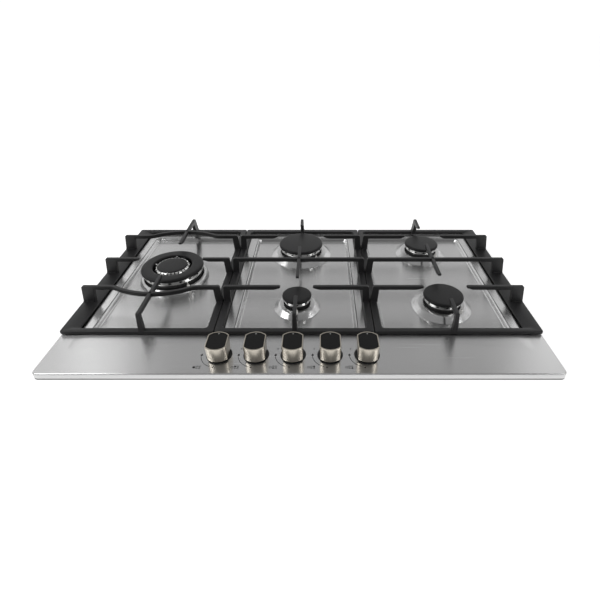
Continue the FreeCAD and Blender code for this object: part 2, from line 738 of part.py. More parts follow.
def make_tray():
    """The bottom tray: a folded open box, with a recess under its right front corner for the gas inlet."""
    body = new_body("Tray")
    outside = draw(body, "TrayOutline", level="tray_bottom")
    rectangle(outside, "-tray_side", "tray_side", "-tray_end", "tray_end")
    pad(body, outside, "TrayBlock", "panel_top - steel - tray_bottom")
    inside = draw(body, "TrayInside", level=TRAY_FLOOR)
    rectangle(inside, "steel - tray_side", "tray_side - steel", "steel - tray_end", "tray_end - steel")
    cut(body, inside, "TrayHollow", "panel_top - tray_bottom")
    hood = draw(body, "RecessHood", level="tray_bottom")
    rectangle(hood, "recess_start", "tray_side", "-tray_end", "recess_rear")
    pad(body, hood, "RecessBlock", "recess_top - tray_bottom")
    hollow = draw(body, "RecessHollow", level="tray_bottom")
    rectangle(hollow, "recess_start + steel", "tray_side - steel", "steel - tray_end", "recess_rear - steel")
    cut(body, hollow, "Recess", "recess_top - tray_bottom - steel")
    passage = draw(body, "RailPassage", "YZ_Plane", "recess_start - steel")
    rectangle(passage, f"{TAP_REAR} - rail_clear", f"{TAP_REAR} + rail_side + rail_clear",
              "rail_top - rail_side - rail_clear", "rail_top + rail_clear")
    cut(body, passage, "RailOpening", "3 * steel")
    entry = draw(body, "MainsOpening", "XZ_Plane", "-tray_end - steel")
    rectangle(entry, "terminal_x + 2 * steel", "terminal_x + terminal_width - 2 * steel",
              "terminal_z + 2 * steel", "terminal_z + terminal_height - 2 * steel")
    cut(body, entry, "MainsKnockOut", "3 * steel")
    return keep(body, "bottom_tray")


def make_brackets():
    """Four bent clamps that draw the hob down on the worktop, and their hexagon screws."""
    brackets, screws = [], []
    for side, x in (("Left", "-bracket_x"), ("Right", "bracket_x")):
        for end, leg_y, foot_y, head_y in (
            ("Front", "-tray_end - bracket_thick", "-tray_end - bracket_reach",
             "-tray_end - bracket_thick - head_height"),
            ("Rear", "tray_end", "tray_end", "tray_end + bracket_thick"),
        ):
            name = f"{side}{end}"
            leg = box(f"{name}Leg", f"{x} - bracket_width / 2", leg_y, "bracket_foot", "bracket_width",
                      "bracket_thick", "bracket_top - bracket_foot")
            foot = box(f"{name}Foot", f"{x} - bracket_width / 2", foot_y, "bracket_foot", "bracket_width",
                       "bracket_reach", "bracket_thick")
            brackets.append(fuse(f"{name}Bracket", leg, foot))
            screws.append(prism(f"{name}Screw", x, head_y, "screw_z", "head_radius", "head_height", HEXAGON,
                                lying=True))
    keep(group("Brackets", brackets), "fixing_brackets")
    keep(group("BracketScrews", screws), "bracket_screws")


# ---------------------------------------------------------------- pan supports


def post(lean, foot, head):
    """The sizes of one kind of post: its lean, its width at the foot and at the head."""
    return {"lean": lean, "foot": foot, "head": head}


OUTER = post("outer_lean", "outer_foot", "outer_head")
INNER = post("inner_lean", "inner_foot", "inner_head")
FRONT = post("front_lean", "front_foot", "front_head")
REAR = post("rear_lean", "rear_foot", "rear_head")


def finger(sketch, edge, way, kind, tip):
    """A post on the frame and an arm that ends in a bevelled tip. way is 1 towards + and -1 towards -."""
    polygon(sketch, [
        (edge, FRAME_FOOT),
        (f"{edge} + {way} * {kind['lean']}", "support_top"),
        (tip, "support_top"),
        (tip, "support_top - tip_depth"),
        (f"{tip} - {way} * tip_run", FINGER_UNDER),
        (f"{edge} + {way} * ({kind['lean']} + {kind['head']})", FINGER_UNDER),
        (f"{edge} + {way} * {kind['foot']}", FRAME_FOOT),
    ])


def cross_bar(sketch, left, left_kind, right, right_kind):
    """A bar from post to post."""
    polygon(sketch, [
        (left, FRAME_FOOT),
        (f"{left} + {left_kind['lean']}", "support_top"),
        (f"{right} - {right_kind['lean']}", "support_top"),
        (right, FRAME_FOOT),
        (f"{right} - {right_kind['foot']}", FRAME_FOOT),
        (f"{right} - {right_kind['lean']} - {right_kind['head']}", FINGER_UNDER),
        (f"{left} + {left_kind['lean']} + {left_kind['head']}", FINGER_UNDER),
        (f"{left} + {left_kind['foot']}", FRAME_FOOT),
    ])


def stub_post(sketch, edge, way, kind):
    """A post alone, up to the pan plane, where a bowed bar meets it."""
    polygon(sketch, [
        (edge, FRAME_FOOT),
        (f"{edge} + {way} * {kind['lean']}", "support_top"),
        (f"{edge} + {way} * ({kind['lean']} + {kind['head']})", "support_top"),
        (f"{edge} + {way} * ({kind['lean']} + {kind['head']})", FINGER_UNDER),
        (f"{edge} + {way} * {kind['foot']}", FRAME_FOOT),
    ])


def make_frame(body, left, right, left_bar, right_bar):
    """The flat frame of a pan support, bevelled round its top."""
    ring = draw(body, "FrameOutline", level=FRAME_FOOT)
    rectangle(ring, left, right, "support_front", "support_rear")
    rectangle(ring, f"{left} + {left_bar}", f"{right} - {right_bar}", "support_front + front_bar",
              "support_rear - rear_bar")
    frame = pad(body, ring, "Frame", "frame_height")
    top = size(f"{FRAME_FOOT} + frame_height")
    chamfer(body, frame, "FrameBevel", "frame_edge", lambda edge: edge.BoundBox.ZMin > top - SAME_POINT)


def row(body, name, y):
    """A sketch plane across the hob at a row of fingers."""
    return draw(body, name, "XZ_Plane", f"-({y})")


def column(body, name, x):
    """A sketch plane from front to rear at a column of fingers."""
    return draw(body, name, "YZ_Plane", x)


def bowed_bar(body, name, y, way, start, end):
    """A bar from left to right that bows outwards round the wok burner, swept along its centre line."""
    y_row, radius, bulge, blend = (size(item) for item in (y, "arc_radius", "arc_bulge", "arc_blend"))
    x_mid, x_start, x_end = (size(item) for item in ("wok_x", start, end))
    centre = V(x_mid, y_row + way * (bulge - radius), 0)
    drop = abs(centre.y - y_row) + blend
    spread = math.sqrt((radius + blend) ** 2 - drop ** 2)
    left_centre = V(x_mid - spread, y_row + way * blend, 0)
    right_centre = V(x_mid + spread, y_row + way * blend, 0)
    path = draw(body, f"{name}Path", level="support_top - finger_depth / 2")

    def arc(middle, reach, one, other):
        """The shorter arc about a centre between two points, counter-clockwise."""
        angles = [math.atan2(point.y - middle.y, point.x - middle.x) for point in (one, other)]
        if (angles[1] - angles[0]) % (2 * math.pi) > math.pi:
            angles.reverse()
        whole = Part.Circle(middle, V(0, 0, 1), reach)
        return Part.ArcOfCircle(whole, angles[0], angles[0] + (angles[1] - angles[0]) % (2 * math.pi))

    turn_in = V(left_centre.x, y_row, 0)
    turn_out = V(right_centre.x, y_row, 0)
    share = radius / (radius + blend)
    meet_left = centre + (left_centre - centre) * share
    meet_right = centre + (right_centre - centre) * share
    pieces = [
        (Part.LineSegment(V(x_start, y_row, 0), turn_in), turn_in),
        (arc(left_centre, blend, turn_in, meet_left), meet_left),
        (arc(centre, radius, meet_left, meet_right), meet_right),
        (arc(right_centre, blend, meet_right, turn_out), turn_out),
        (Part.LineSegment(turn_out, V(x_end, y_row, 0)), None),
    ]
    for piece, _ in pieces:
        path.addGeometry(piece, False)
    for index, (piece, joint) in enumerate(pieces[:-1]):
        meeting = (piece, pieces[index + 1][0])
        ends = [1 if item.StartPoint.distanceToPoint(joint) < SAME_POINT else 2 for item in meeting]
        constrain(path, "Tangent", index, ends[0], index + 1, ends[1])
    constrain(path, "Horizontal", 0)
    constrain(path, "Horizontal", 4)
    constrain(path, "DistanceX", 0, 1, to=start)
    constrain(path, "DistanceY", 0, 1, to=y)
    constrain(path, "DistanceX", 4, 2, to=end)
    constrain(path, "DistanceY", 4, 2, to=y)
    constrain(path, "Radius", 2, to="arc_radius")
    constrain(path, "Radius", 1, to="arc_blend")
    constrain(path, "Equal", 1, 3)
    constrain(path, "DistanceX", 2, 3, to="wok_x")
    constrain(path, "DistanceY", 2, 3, to=f"{y} + {way} * (arc_bulge - arc_radius)")
    section = draw(body, f"{name}Section", "YZ_Plane", start)
    rectangle(section, f"{y} - finger_width / 2", f"{y} + finger_width / 2", FINGER_UNDER, "support_top")
    sweep = body.newObject("PartDesign::AdditivePipe", name)
    sweep.Profile = section
    sweep.Spine = path
    return sweep


LEFT_EDGE = "(-panel_width / 2)"
LEFT_INNER = "(left_split - split_gap / 2)"
CENTRE_LEFT = "(left_split + split_gap / 2)"
CENTRE_RIGHT = "(right_split - split_gap / 2)"
RIGHT_INNER = "(right_split + split_gap / 2)"
RIGHT_EDGE = "(panel_width / 2)"


def tip_low(burner, axis):
    """The fingertip on the low side of a burner, left of it or in front of it."""
    return f"({axis} - {burner.cap} - tip_clear)"


def tip_high(burner, axis):
    """The fingertip on the high side of a burner, right of it or behind it."""
    return f"({axis} + {burner.cap} + tip_clear)"


def make_left_support():
    body = new_body("LeftSupport")
    make_frame(body, LEFT_EDGE, LEFT_INNER, "outer_bar", "inner_bar")
    middle = row(body, "LeftMiddleRow", "wok_y")
    finger(middle, LEFT_EDGE, "1", OUTER, tip_low(WOK, "wok_x"))
    finger(middle, LEFT_INNER, "-1", INNER, tip_high(WOK, "wok_x"))
    pad(body, middle, "LeftMiddleFingers", "finger_width", both_ways=True)
    for name, y, way in (("LeftFront", "front_y", -1), ("LeftRear", "rear_y", 1)):
        ends = row(body, f"{name}Posts", y)
        stub_post(ends, LEFT_EDGE, "1", OUTER)
        stub_post(ends, LEFT_INNER, "-1", INNER)
        pad(body, ends, f"{name}Post", "finger_width", both_ways=True)
        bowed_bar(body, f"{name}Bow", y, way, f"({LEFT_EDGE} + outer_lean + outer_head / 2)",
                  f"({LEFT_INNER} - inner_lean - inner_head / 2)")
    line = column(body, "LeftColumn", "wok_x")
    finger(line, "support_front", "1", FRONT, tip_low(WOK, "wok_y"))
    finger(line, "support_rear", "-1", REAR, tip_high(WOK, "wok_y"))
    pad(body, line, "LeftColumnFingers", "finger_width", both_ways=True)
    return keep(body, "pan_support_left")


def make_two_burner_support(name, label, left, right, left_kind, right_kind, bars, x, rear, front):
    """A pan support over a rear and a front burner: fingers to each, and a cross between them."""
    body = new_body(f"{name}Support")
    make_frame(body, left, right, *bars)
    for place_name, y, burner in (("Rear", "rear_y", rear), ("Front", "front_y", front)):
        line = row(body, f"{name}{place_name}Row", y)
        finger(line, left, "1", left_kind, tip_low(burner, x))
        finger(line, right, "-1", right_kind, tip_high(burner, x))
        pad(body, line, f"{name}{place_name}Fingers", "finger_width", both_ways=True)
    middle = row(body, f"{name}MiddleRow", "wok_y")
    cross_bar(middle, left, left_kind, right, right_kind)
    pad(body, middle, f"{name}MiddleBar", "finger_width", both_ways=True)
    line = column(body, f"{name}Column", x)
    finger(line, "support_front", "1", FRONT, tip_low(front, "front_y"))
    finger(line, "support_rear", "-1", REAR, tip_high(rear, "rear_y"))
    near, far = tip_high(front, "front_y"), tip_low(rear, "rear_y")
    polygon(line, [
        (near, "support_top"),
        (far, "support_top"),
        (far, "support_top - tip_depth"),
        (f"{far} - tip_run", FINGER_UNDER),
        (f"{near} + tip_run", FINGER_UNDER),
        (near, "support_top - tip_depth"),
    ])
    pad(body, line, f"{name}ColumnFingers", "finger_width", both_ways=True)
    return keep(body, label)


def make_feet(name, label, left, right, left_bar, right_bar):
    """Four square rubber feet under the corners of a pan support."""
    feet = []
    for end, x in (("Left", f"{left} + {left_bar} / 2"), ("Right", f"{right} - {right_bar} / 2")):
        for side, y in (("Front", "support_front + front_bar / 2"), ("Rear", "support_rear - rear_bar / 2")):
            feet.append(box(f"{name}{end}{side}Foot", f"{x} - foot_side / 2", f"{y} - foot_side / 2",
                            "panel_top", "foot_side", "foot_side", "foot_height"))
    return keep(group(f"{name}Feet", feet), label)


# ---------------------------------------------------------------- knobs, taps and gas supply

TAPS = (WOK, RAPID, AUX, SEMI_REAR, SEMI_FRONT)


def knob_x(index):
    """The axis of a knob, counted from the left."""
    return f"(column_x + {index - 2} * knob_pitch)"


def make_knob(index):
    """One control: the knob on its spindle, and the tap's stem on which the spindle slides."""
    number = index + 1
    x = knob_x(index)

    knob = new_body(f"Knob{number}Body")
    outline = draw(knob, f"Knob{number}Outline", level=KNOB_BASE)
    truncated_circle(outline, "knob_radius", "knob_flats")
    pad(knob, outline, f"Knob{number}Sleeve", "knob_height")
    spindle = draw(knob, f"Spindle{number}Round", level="spindle_bottom")
    regular(spindle, "0", "0", "spindle_radius", ROD_SIDES)
    pad(knob, spindle, f"Spindle{number}Shaft", f"{KNOB_BASE} - spindle_bottom")
    socket = draw(knob, f"Spindle{number}Socket", level="spindle_bottom")
    reach = "(stem_side / 2 + fit_gap)"
    rectangle(socket, f"-{reach}", reach, f"-{reach}", reach)
    cut(knob, socket, f"Spindle{number}Slot", "socket_depth")
    place(knob, x, "knob_y")
    keep(knob, f"knob_{number}")

    keep(box(f"Stem{number}", f"{x} - stem_side / 2", "knob_y - stem_side / 2", "stem_bottom", "stem_side",
             "stem_side", "stem_top - stem_bottom"), f"tap_stem_{number}")


def make_tap(index):
    """A tap body on the gas rail, with the chamber in which stem and spindle turn."""
    x, number = knob_x(index), index + 1
    reach = "(spindle_radius + fit_gap)"
    block = box(f"TapBlock{number}", f"{x} - tap_width / 2", "knob_y - tap_front", "tap_bottom", "tap_width",
                "tap_front + tap_rear", "tap_top - tap_bottom")
    chamber = box(f"Chamber{number}", f"{x} - {reach}", f"knob_y - {reach}", "stem_bottom", f"2 * {reach}",
                  f"2 * {reach}", f"tap_top - stem_bottom + {OVERCUT}")
    return subtract(f"Tap{number}", block, chamber)


def make_pipe(index, burner):
    """A straight gas pipe whose ends are pushed into its tap and into its burner's cup."""
    body = new_body(f"Pipe{index + 1}")
    across, along = f"({knob_x(index)} - {burner.x})", f"({TAP_REAR} - {burner.y})"
    section = draw(body, f"Pipe{index + 1}Section", "YZ_Plane", f"{burner.bowl} - pipe_seat")
    regular(section, "0", "pipe_z", "pipe_radius", PIPE_SIDES)
    length = f"sqrt(pow({across}; 2) + pow({along}; 2)) - {burner.bowl} + 2 * pipe_seat"
    pad(body, section, f"Pipe{index + 1}Tube", length)
    place(body, burner.x, burner.y, turn=f"atan2({along}; {across})")
    return body


def make_gas_supply():
    keep(group("Taps", [make_tap(index) for index in range(len(TAPS))]), "gas_taps")
    keep(group("Pipes", [make_pipe(index, burner) for index, burner in enumerate(TAPS)]), "gas_pipes")

    end = "(inlet_x - inlet_thread)"
    outside = box("RailOutside", "rail_start", TAP_REAR, "rail_top - rail_side", f"{end} - rail_start",
                  "rail_side", "rail_side")
    inside = box("RailInside", "rail_start + rail_wall", f"{TAP_REAR} + rail_wall",
                 "rail_top - rail_side + rail_wall", f"{end} - rail_start - 2 * rail_wall",
                 "rail_side - 2 * rail_wall", "rail_side - 2 * rail_wall")
    knuckle = box("InletKnuckle", end, f"{RAIL_Y} - inlet_thread", "inlet_shoulder", "2 * inlet_thread",
                  "2 * inlet_thread", "rail_top - inlet_shoulder")
    neck = cylinder("InletNeck", "inlet_x", RAIL_Y, "inlet_shoulder - inlet_relief", "inlet_neck", "inlet_relief")
    thread = cylinder("InletThread", "inlet_x", RAIL_Y, "inlet_end", "inlet_thread",
                      "inlet_shoulder - inlet_relief - inlet_end")
    inlet = fuse("InletElbow", knuckle, neck, thread)
    keep(group("Rail", [subtract("RailTube", outside, inside), inlet]), "gas_rail")


def make_ignition():
    keep(box("Generator", "generator_x", "generator_y", TRAY_FLOOR, "generator_width", "generator_depth",
             "generator_height"), "spark_generator")
    switches = [
        box(f"Switch{index + 1}", f"{knob_x(index)} + tap_width / 2", "knob_y - switch_depth / 2",
            "tap_top - switch_height", "switch_width", "switch_depth", "switch_height")
        for index in range(len(TAPS))
    ]
    keep(group("Switches", switches), "ignition_switches")
    keep(box("TerminalBox", "terminal_x", "tray_end - steel - terminal_depth", "terminal_z",
             "terminal_width", "terminal_depth", "terminal_height"), "mains_terminal_box")


# ---------------------------------------------------------------- build and export


def check():
    """Stop if any object failed, or a sub-part is empty or not valid."""
    doc.recompute()
    for thing in doc.Objects:
        if {"Invalid", "Error"} & set(thing.State):
            raise RuntimeError(f"{thing.Name} ({thing.Label}) is {thing.State}")
    for thing in subparts:
        if thing.Shape.isNull() or not thing.Shape.isValid() or not thing.Shape.Solids:
            raise RuntimeError(f"{thing.Label} has no valid solid")


def main():
    make_panel()
    make_gasket()
    make_tray()
    make_brackets()
    keep(group("Cups", [make_cup(burner) for burner in BURNERS]), "burner_cups")
    keep(group("Injectors", [make_injector(burner) for burner in BURNERS]), "gas_injectors")
    keep(group("Electrodes", [make_electrode(burner) for burner in BURNERS]), "spark_electrodes")
    crowns = [ring for burner in BURNERS for ring in make_crown(burner)]
    keep(group("Crowns", crowns), "burner_crowns")
    keep(group("Bridges", [make_bridge(burner) for burner in BURNERS]), "burner_bridges")
    for burner in BURNERS:
        if burner is WOK:
            make_cap("wok_ring_cap", WOK, "wok_cap", "wok_cap_hole")
            make_cap("wok_inner_cap", WOK, "wok_core_cap")
        else:
            make_cap(f"{burner.name}_cap", burner, burner.cap)
    make_left_support()
    make_two_burner_support("Centre", "pan_support_centre", CENTRE_LEFT, CENTRE_RIGHT, INNER, INNER,
                            ("inner_bar", "inner_bar"), "column_x", RAPID, AUX)
    make_two_burner_support("Right", "pan_support_right", RIGHT_INNER, RIGHT_EDGE, INNER, OUTER,
                            ("inner_bar", "outer_bar"), "right_x", SEMI_REAR, SEMI_FRONT)
    make_feet("Left", "pan_support_feet_left", LEFT_EDGE, LEFT_INNER, "outer_bar", "inner_bar")
    make_feet("Centre", "pan_support_feet_centre", CENTRE_LEFT, CENTRE_RIGHT, "inner_bar", "inner_bar")
    make_feet("Right", "pan_support_feet_right", RIGHT_INNER, RIGHT_EDGE, "inner_bar", "outer_bar")
    make_gas_supply()
    make_ignition()
    for index in range(len(TAPS)):
        make_knob(index)
    check()
    os.makedirs("parts", exist_ok=True)
    for thing in subparts:
        thing.Shape.exportStep(f"parts/{thing.Label}.step")
        print(f"{thing.Label}: {len(thing.Shape.Solids)} solids, {thing.Shape.Volume / 1000:.1f} cm3")


main()
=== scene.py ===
"""Looks of a built-in five-burner gas hob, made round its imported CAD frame.

Every class below works in millimetres, in the frame's own axes: X to the right, Y to the rear and Z up from
the worktop. A piece becomes metres when it is finished, with its place in its mesh.
"""
from __future__ import annotations

import logging
import math
from collections.abc import Iterable, Sequence
from dataclasses import dataclass
from enum import Enum

import bmesh
import bpy
from bmesh.types import BMEdge, BMFace, BMVert
from mathutils import Matrix, Vector

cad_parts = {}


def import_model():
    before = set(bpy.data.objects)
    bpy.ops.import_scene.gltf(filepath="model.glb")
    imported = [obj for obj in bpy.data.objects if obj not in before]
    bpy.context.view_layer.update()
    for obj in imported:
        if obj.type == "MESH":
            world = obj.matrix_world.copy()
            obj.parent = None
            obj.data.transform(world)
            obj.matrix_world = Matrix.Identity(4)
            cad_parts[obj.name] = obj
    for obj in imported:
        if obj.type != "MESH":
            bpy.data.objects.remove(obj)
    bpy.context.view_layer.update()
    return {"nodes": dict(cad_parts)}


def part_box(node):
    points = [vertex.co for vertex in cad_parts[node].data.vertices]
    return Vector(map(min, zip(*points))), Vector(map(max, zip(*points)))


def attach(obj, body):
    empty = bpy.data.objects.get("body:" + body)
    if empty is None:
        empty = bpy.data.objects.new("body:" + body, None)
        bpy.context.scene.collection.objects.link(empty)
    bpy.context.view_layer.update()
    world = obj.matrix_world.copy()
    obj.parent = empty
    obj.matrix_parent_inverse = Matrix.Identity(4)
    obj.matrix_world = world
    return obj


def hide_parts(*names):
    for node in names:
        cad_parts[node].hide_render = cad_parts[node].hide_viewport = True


LOG = logging.getLogger("gas_hob")

METRE = 1000.0
UP = Vector((0.0, 0.0, 1.0))
WELD = 0.002
FULL_TURN = 2 * math.pi

# A pattern's values lie about 0.5; a finish drifts between its limits over this span of them.
PATTERN_SPAN = (0.3, 0.7)
FINE_SHARE = 0.7
FINE_OCTAVES = 3.0
BROAD_OCTAVES = 2.0
COAT_ROUGHNESS = 0.06
# Pointiness over which raised edges are painted lighter, and the grey of that painted highlight.
RAISED_EDGE = (0.52, 0.64)
EDGE_HIGHLIGHT_GREY = (0.32, 0.32, 0.33, 1.0)

Point = tuple[float, float]
Colour = tuple[float, float, float]


# ---------------------------------------------------------------- finishes


class Grain(Enum):
    """How a surface is worked, as the size of its pattern in metres along X, Y and Z."""

    BRUSHED = (0.16, 0.0006, 0.16)
    DRAWN = (0.0009, 0.0009, 0.05)
    CAST = (0.0012, 0.0012, 0.0012)
    ENAMELLED = (0.004, 0.004, 0.004)
    MACHINED = (0.006, 0.006, 0.0005)
    MOULDED = (0.0006, 0.0006, 0.0006)


@dataclass(frozen=True)
class Finish:
    """One finish: its colour and gloss, and the fine pattern that its making leaves.

    Attributes:
        name: The material's name.
        slot: The record's material slot that it stands for; not used.
        colour: Linear base colour.
        roughness: Mean roughness.
        metallic: 1 for bare metal.
        grain: How the surface is worked.
        relief: Depth of the pattern, in millimetres.
        mottle: Share by which the colour drifts.
        spread: Share by which the roughness drifts.
        specular: Specular level of a finish that isn't metal.
        coat: Weight of a clear glassy layer.
        stretched: How far the gloss is drawn out across the brushing.
        edge_highlight: Share by which raised edges are painted lighter, a painted highlight.
        drift: Size of the broad pattern, in cells of the fine one.
        glow: Light that the surface gives off.
    """

    name: str
    slot: str
    colour: Colour
    roughness: float
    metallic: float = 0.0
    grain: Grain = Grain.MOULDED
    relief: float = 0.01
    mottle: float = 0.06
    spread: float = 0.12
    specular: float = 0.5
    coat: float = 0.0
    stretched: float = 0.0
    edge_highlight: float = 0.0
    drift: float = 14.0
    glow: float = 0.0

    def material(self) -> bpy.types.Material:
        """The finish as a node material, made once.

        Returns:
            The material, shared by every piece with this finish.
        """
        known = bpy.data.materials.get(self.name)
        if known:
            return known
        made = bpy.data.materials.new(self.name)
        made.use_nodes = True
        tree = made.node_tree
        shader = tree.nodes["Principled BSDF"]
        shader.inputs["Metallic"].default_value = self.metallic
        shader.inputs["Specular IOR Level"].default_value = self.specular
        shader.inputs["Coat Weight"].default_value = self.coat
        shader.inputs["Coat Roughness"].default_value = COAT_ROUGHNESS
        shader.inputs["Anisotropic"].default_value = self.stretched
        shader.inputs["Emission Color"].default_value = (1.0, 1.0, 1.0, 1.0)
        shader.inputs["Emission Strength"].default_value = self.glow
        place = tree.nodes.new("ShaderNodeTexCoord")
        fine = self._noise(tree, place, Vector(self.grain.value), FINE_OCTAVES)
        broad = self._noise(tree, place, Vector(self.grain.value) * self.drift, BROAD_OCTAVES)
        pattern = self._join(tree, "MULTIPLY_ADD", fine, FINE_SHARE,
                             self._join(tree, "MULTIPLY", broad, 1 - FINE_SHARE))
        tree.links.new(self._tint(tree, pattern), shader.inputs["Base Color"])
        tree.links.new(self._gloss(tree, pattern), shader.inputs["Roughness"])
        bump = tree.nodes.new("ShaderNodeBump")
        bump.inputs["Strength"].default_value = 1.0
        bump.inputs["Distance"].default_value = self.relief / METRE
        tree.links.new(fine, bump.inputs["Height"])
        tree.links.new(bump.outputs["Normal"], shader.inputs["Normal"])
        if self.stretched:
            across = tree.nodes.new("ShaderNodeCombineXYZ")
            across.inputs["Y"].default_value = 1.0
            tree.links.new(across.outputs["Vector"], shader.inputs["Tangent"])
        return made

    @staticmethod
    def _noise(tree: bpy.types.NodeTree, place: bpy.types.Node, size: Vector, detail: float) -> bpy.types.NodeSocket:
        """A noise whose cells have a size in metres along each axis.

        Args:
            tree: The material's tree.
            place: Its texture coordinates.
            size: Cell size in metres.
            detail: Octaves.

        Returns:
            The noise's value.
        """
        mapping = tree.nodes.new("ShaderNodeMapping")
        mapping.inputs["Scale"].default_value = [1 / part for part in size]
        noise = tree.nodes.new("ShaderNodeTexNoise")
        noise.inputs["Scale"].default_value = 1.0
        noise.inputs["Detail"].default_value = detail
        tree.links.new(place.outputs["Object"], mapping.inputs["Vector"])
        tree.links.new(mapping.outputs["Vector"], noise.inputs["Vector"])
        return noise.outputs["Fac"]

    @staticmethod
    def _join(tree: bpy.types.NodeTree, operation: str, first: bpy.types.NodeSocket, by: float,
              plus: bpy.types.NodeSocket | None = None) -> bpy.types.NodeSocket:
        """A sum or product of two patterns.

        Args:
            tree: The material's tree.
            operation: A Math node's operation.
            first: The pattern.
            by: The number that it is joined with.
            plus: A second pattern, for MULTIPLY_ADD.

        Returns:
            The result.
        """
        node = tree.nodes.new("ShaderNodeMath")
        node.operation = operation
        node.inputs[1].default_value = by
        tree.links.new(first, node.inputs[0])
        if plus:
            tree.links.new(plus, node.inputs[2])
        return node.outputs["Value"]

    def _tint(self, tree: bpy.types.NodeTree, pattern: bpy.types.NodeSocket) -> bpy.types.NodeSocket:
        """The colour, drifting with the pattern and painted lighter on raised edges, a painted highlight.

        Args:
            tree: The material's tree.
            pattern: The pattern, about 0.5.

        Returns:
            The colour.
        """
        ramp = tree.nodes.new("ShaderNodeValToRGB")
        low, high = ramp.color_ramp.elements
        low.position, high.position = PATTERN_SPAN
        low.color = (*(part * (1 - self.mottle) for part in self.colour), 1.0)
        high.color = (*(min(part * (1 + self.mottle), 1.0) for part in self.colour), 1.0)
        tree.links.new(pattern, ramp.inputs["Fac"])
        if not self.edge_highlight:
            return ramp.outputs["Color"]
        # raised edges are painted lighter towards a pale grey: a painted highlight
        form = tree.nodes.new("ShaderNodeNewGeometry")
        edge = tree.nodes.new("ShaderNodeMapRange")
        edge.inputs["From Min"].default_value, edge.inputs["From Max"].default_value = RAISED_EDGE
        edge.inputs["To Max"].default_value = self.edge_highlight
        mix = tree.nodes.new("ShaderNodeMix")
        mix.data_type = "RGBA"
        mix.inputs["B"].default_value = EDGE_HIGHLIGHT_GREY
        tree.links.new(form.outputs["Pointiness"], edge.inputs["Value"])
        tree.links.new(edge.outputs["Result"], mix.inputs["Factor"])
        tree.links.new(ramp.outputs["Color"], mix.inputs["A"])
        return mix.outputs["Result"]

    def _gloss(self, tree: bpy.types.NodeTree, pattern: bpy.types.NodeSocket) -> bpy.types.NodeSocket:
        """The roughness, drifting with the pattern.

        Args:
            tree: The material's tree.
            pattern: The pattern, about 0.5.

        Returns:
            The roughness.
        """
        span = tree.nodes.new("ShaderNodeMapRange")
        span.inputs["From Min"].default_value, span.inputs["From Max"].default_value = PATTERN_SPAN
        span.inputs["To Min"].default_value = self.roughness * (1 - self.spread)
        span.inputs["To Max"].default_value = min(self.roughness * (1 + self.spread), 1.0)
        tree.links.new(pattern, span.inputs["Value"])
        return span.outputs["Result"]


BRUSHED_STEEL = Finish("brushed_panel_steel", "brushed_panel", (0.60, 0.60, 0.60), 0.26, 1.0, Grain.BRUSHED,
                       relief=0.0005, mottle=0.02, spread=0.06, stretched=0.9, drift=3.0)
# The panel's turned-down edge and the lip under it are painted darker than the top: a painted dark reflection.
DARK_REFLECTION_EDGE_STEEL = Finish("edge_steel_painted_dark_reflection", "brushed_panel", (0.22, 0.22, 0.22), 0.34, 1.0, Grain.BRUSHED,
                    relief=0.0005, mottle=0.02, spread=0.06, drift=3.0)
# The iron's raised edges are painted lighter, a painted highlight.
CAST_IRON = Finish("enamelled_cast_iron", "cast_iron", (0.012, 0.012, 0.0125), 0.44, grain=Grain.CAST,
                   relief=0.03, mottle=0.15, specular=0.36, edge_highlight=0.06)
CAP_ENAMEL = Finish("black_cap_enamel", "enamel", (0.010, 0.010, 0.0105), 0.42, grain=Grain.ENAMELLED,
                    relief=0.008, mottle=0.12, specular=0.24)
CROWN_METAL = Finish("bright_crown_aluminium", "cast_aluminium", (0.82, 0.82, 0.81), 0.16, 1.0, Grain.MACHINED,
                     relief=0.004, mottle=0.05)
# Very dark cast aluminium: painted shade on the crowns' necks and on the cups down in the skirts' holes.
SHADED_CUP_METAL = Finish("cast_aluminium_painted_shade", "cast_aluminium", (0.10, 0.10, 0.10), 0.50, 1.0, Grain.CAST, relief=0.04)
KNOB_NICKEL = Finish("champagne_knob_nickel", "knob_metal", (0.54, 0.50, 0.43), 0.30, 1.0, Grain.DRAWN,
                     relief=0.002, mottle=0.03, spread=0.08)
KNOB_BLACK = Finish("black_knob_inlay", "knob_metal", (0.006, 0.006, 0.006), 0.50, grain=Grain.MOULDED,
                    relief=0.004, mottle=0.1, specular=0.14)
# Black of the knobs' seals, which also stands for the shade under each knob: partly a real seal, partly painted
# shade.
SEAL_AND_SHADE_BLACK = Finish("black_knob_seal_and_shade", "black_plastic", (0.008, 0.008, 0.008), 0.5, grain=Grain.MOULDED)
PRINT_BLACK = Finish("black_panel_print", "black_plastic", (0.010, 0.010, 0.010), 0.7, grain=Grain.MOULDED,
                     relief=0.002, specular=0.2)
MARK_WHITE = Finish("pale_knob_mark", "ceramic", (0.62, 0.62, 0.60), 0.5, grain=Grain.MOULDED, relief=0.002)
CERAMIC = Finish("white_alumina", "ceramic", (0.86, 0.85, 0.82), 0.34, grain=Grain.MOULDED, relief=0.01, coat=0.2)
PIN_STEEL = Finish("electrode_pin_steel", "screw_steel", (0.62, 0.61, 0.58), 0.30, 1.0, Grain.MACHINED)
GALVANISED = Finish("galvanised_sheet", "galvanised_steel", (0.50, 0.51, 0.52), 0.42, 1.0, Grain.ENAMELLED,
                    relief=0.01, mottle=0.16)
ZINC = Finish("zinc_screw", "screw_steel", (0.66, 0.66, 0.66), 0.28, 1.0, Grain.MACHINED)
BRASS = Finish("machined_brass", "brass", (0.72, 0.52, 0.22), 0.26, 1.0, Grain.MACHINED)
TUBE = Finish("drawn_aluminium_tube", "tube_aluminium", (0.68, 0.68, 0.68), 0.34, 1.0, Grain.DRAWN)
FOAM = Finish("foam_gasket", "foam", (0.03, 0.03, 0.03), 0.9, grain=Grain.CAST, relief=0.12, mottle=0.3)
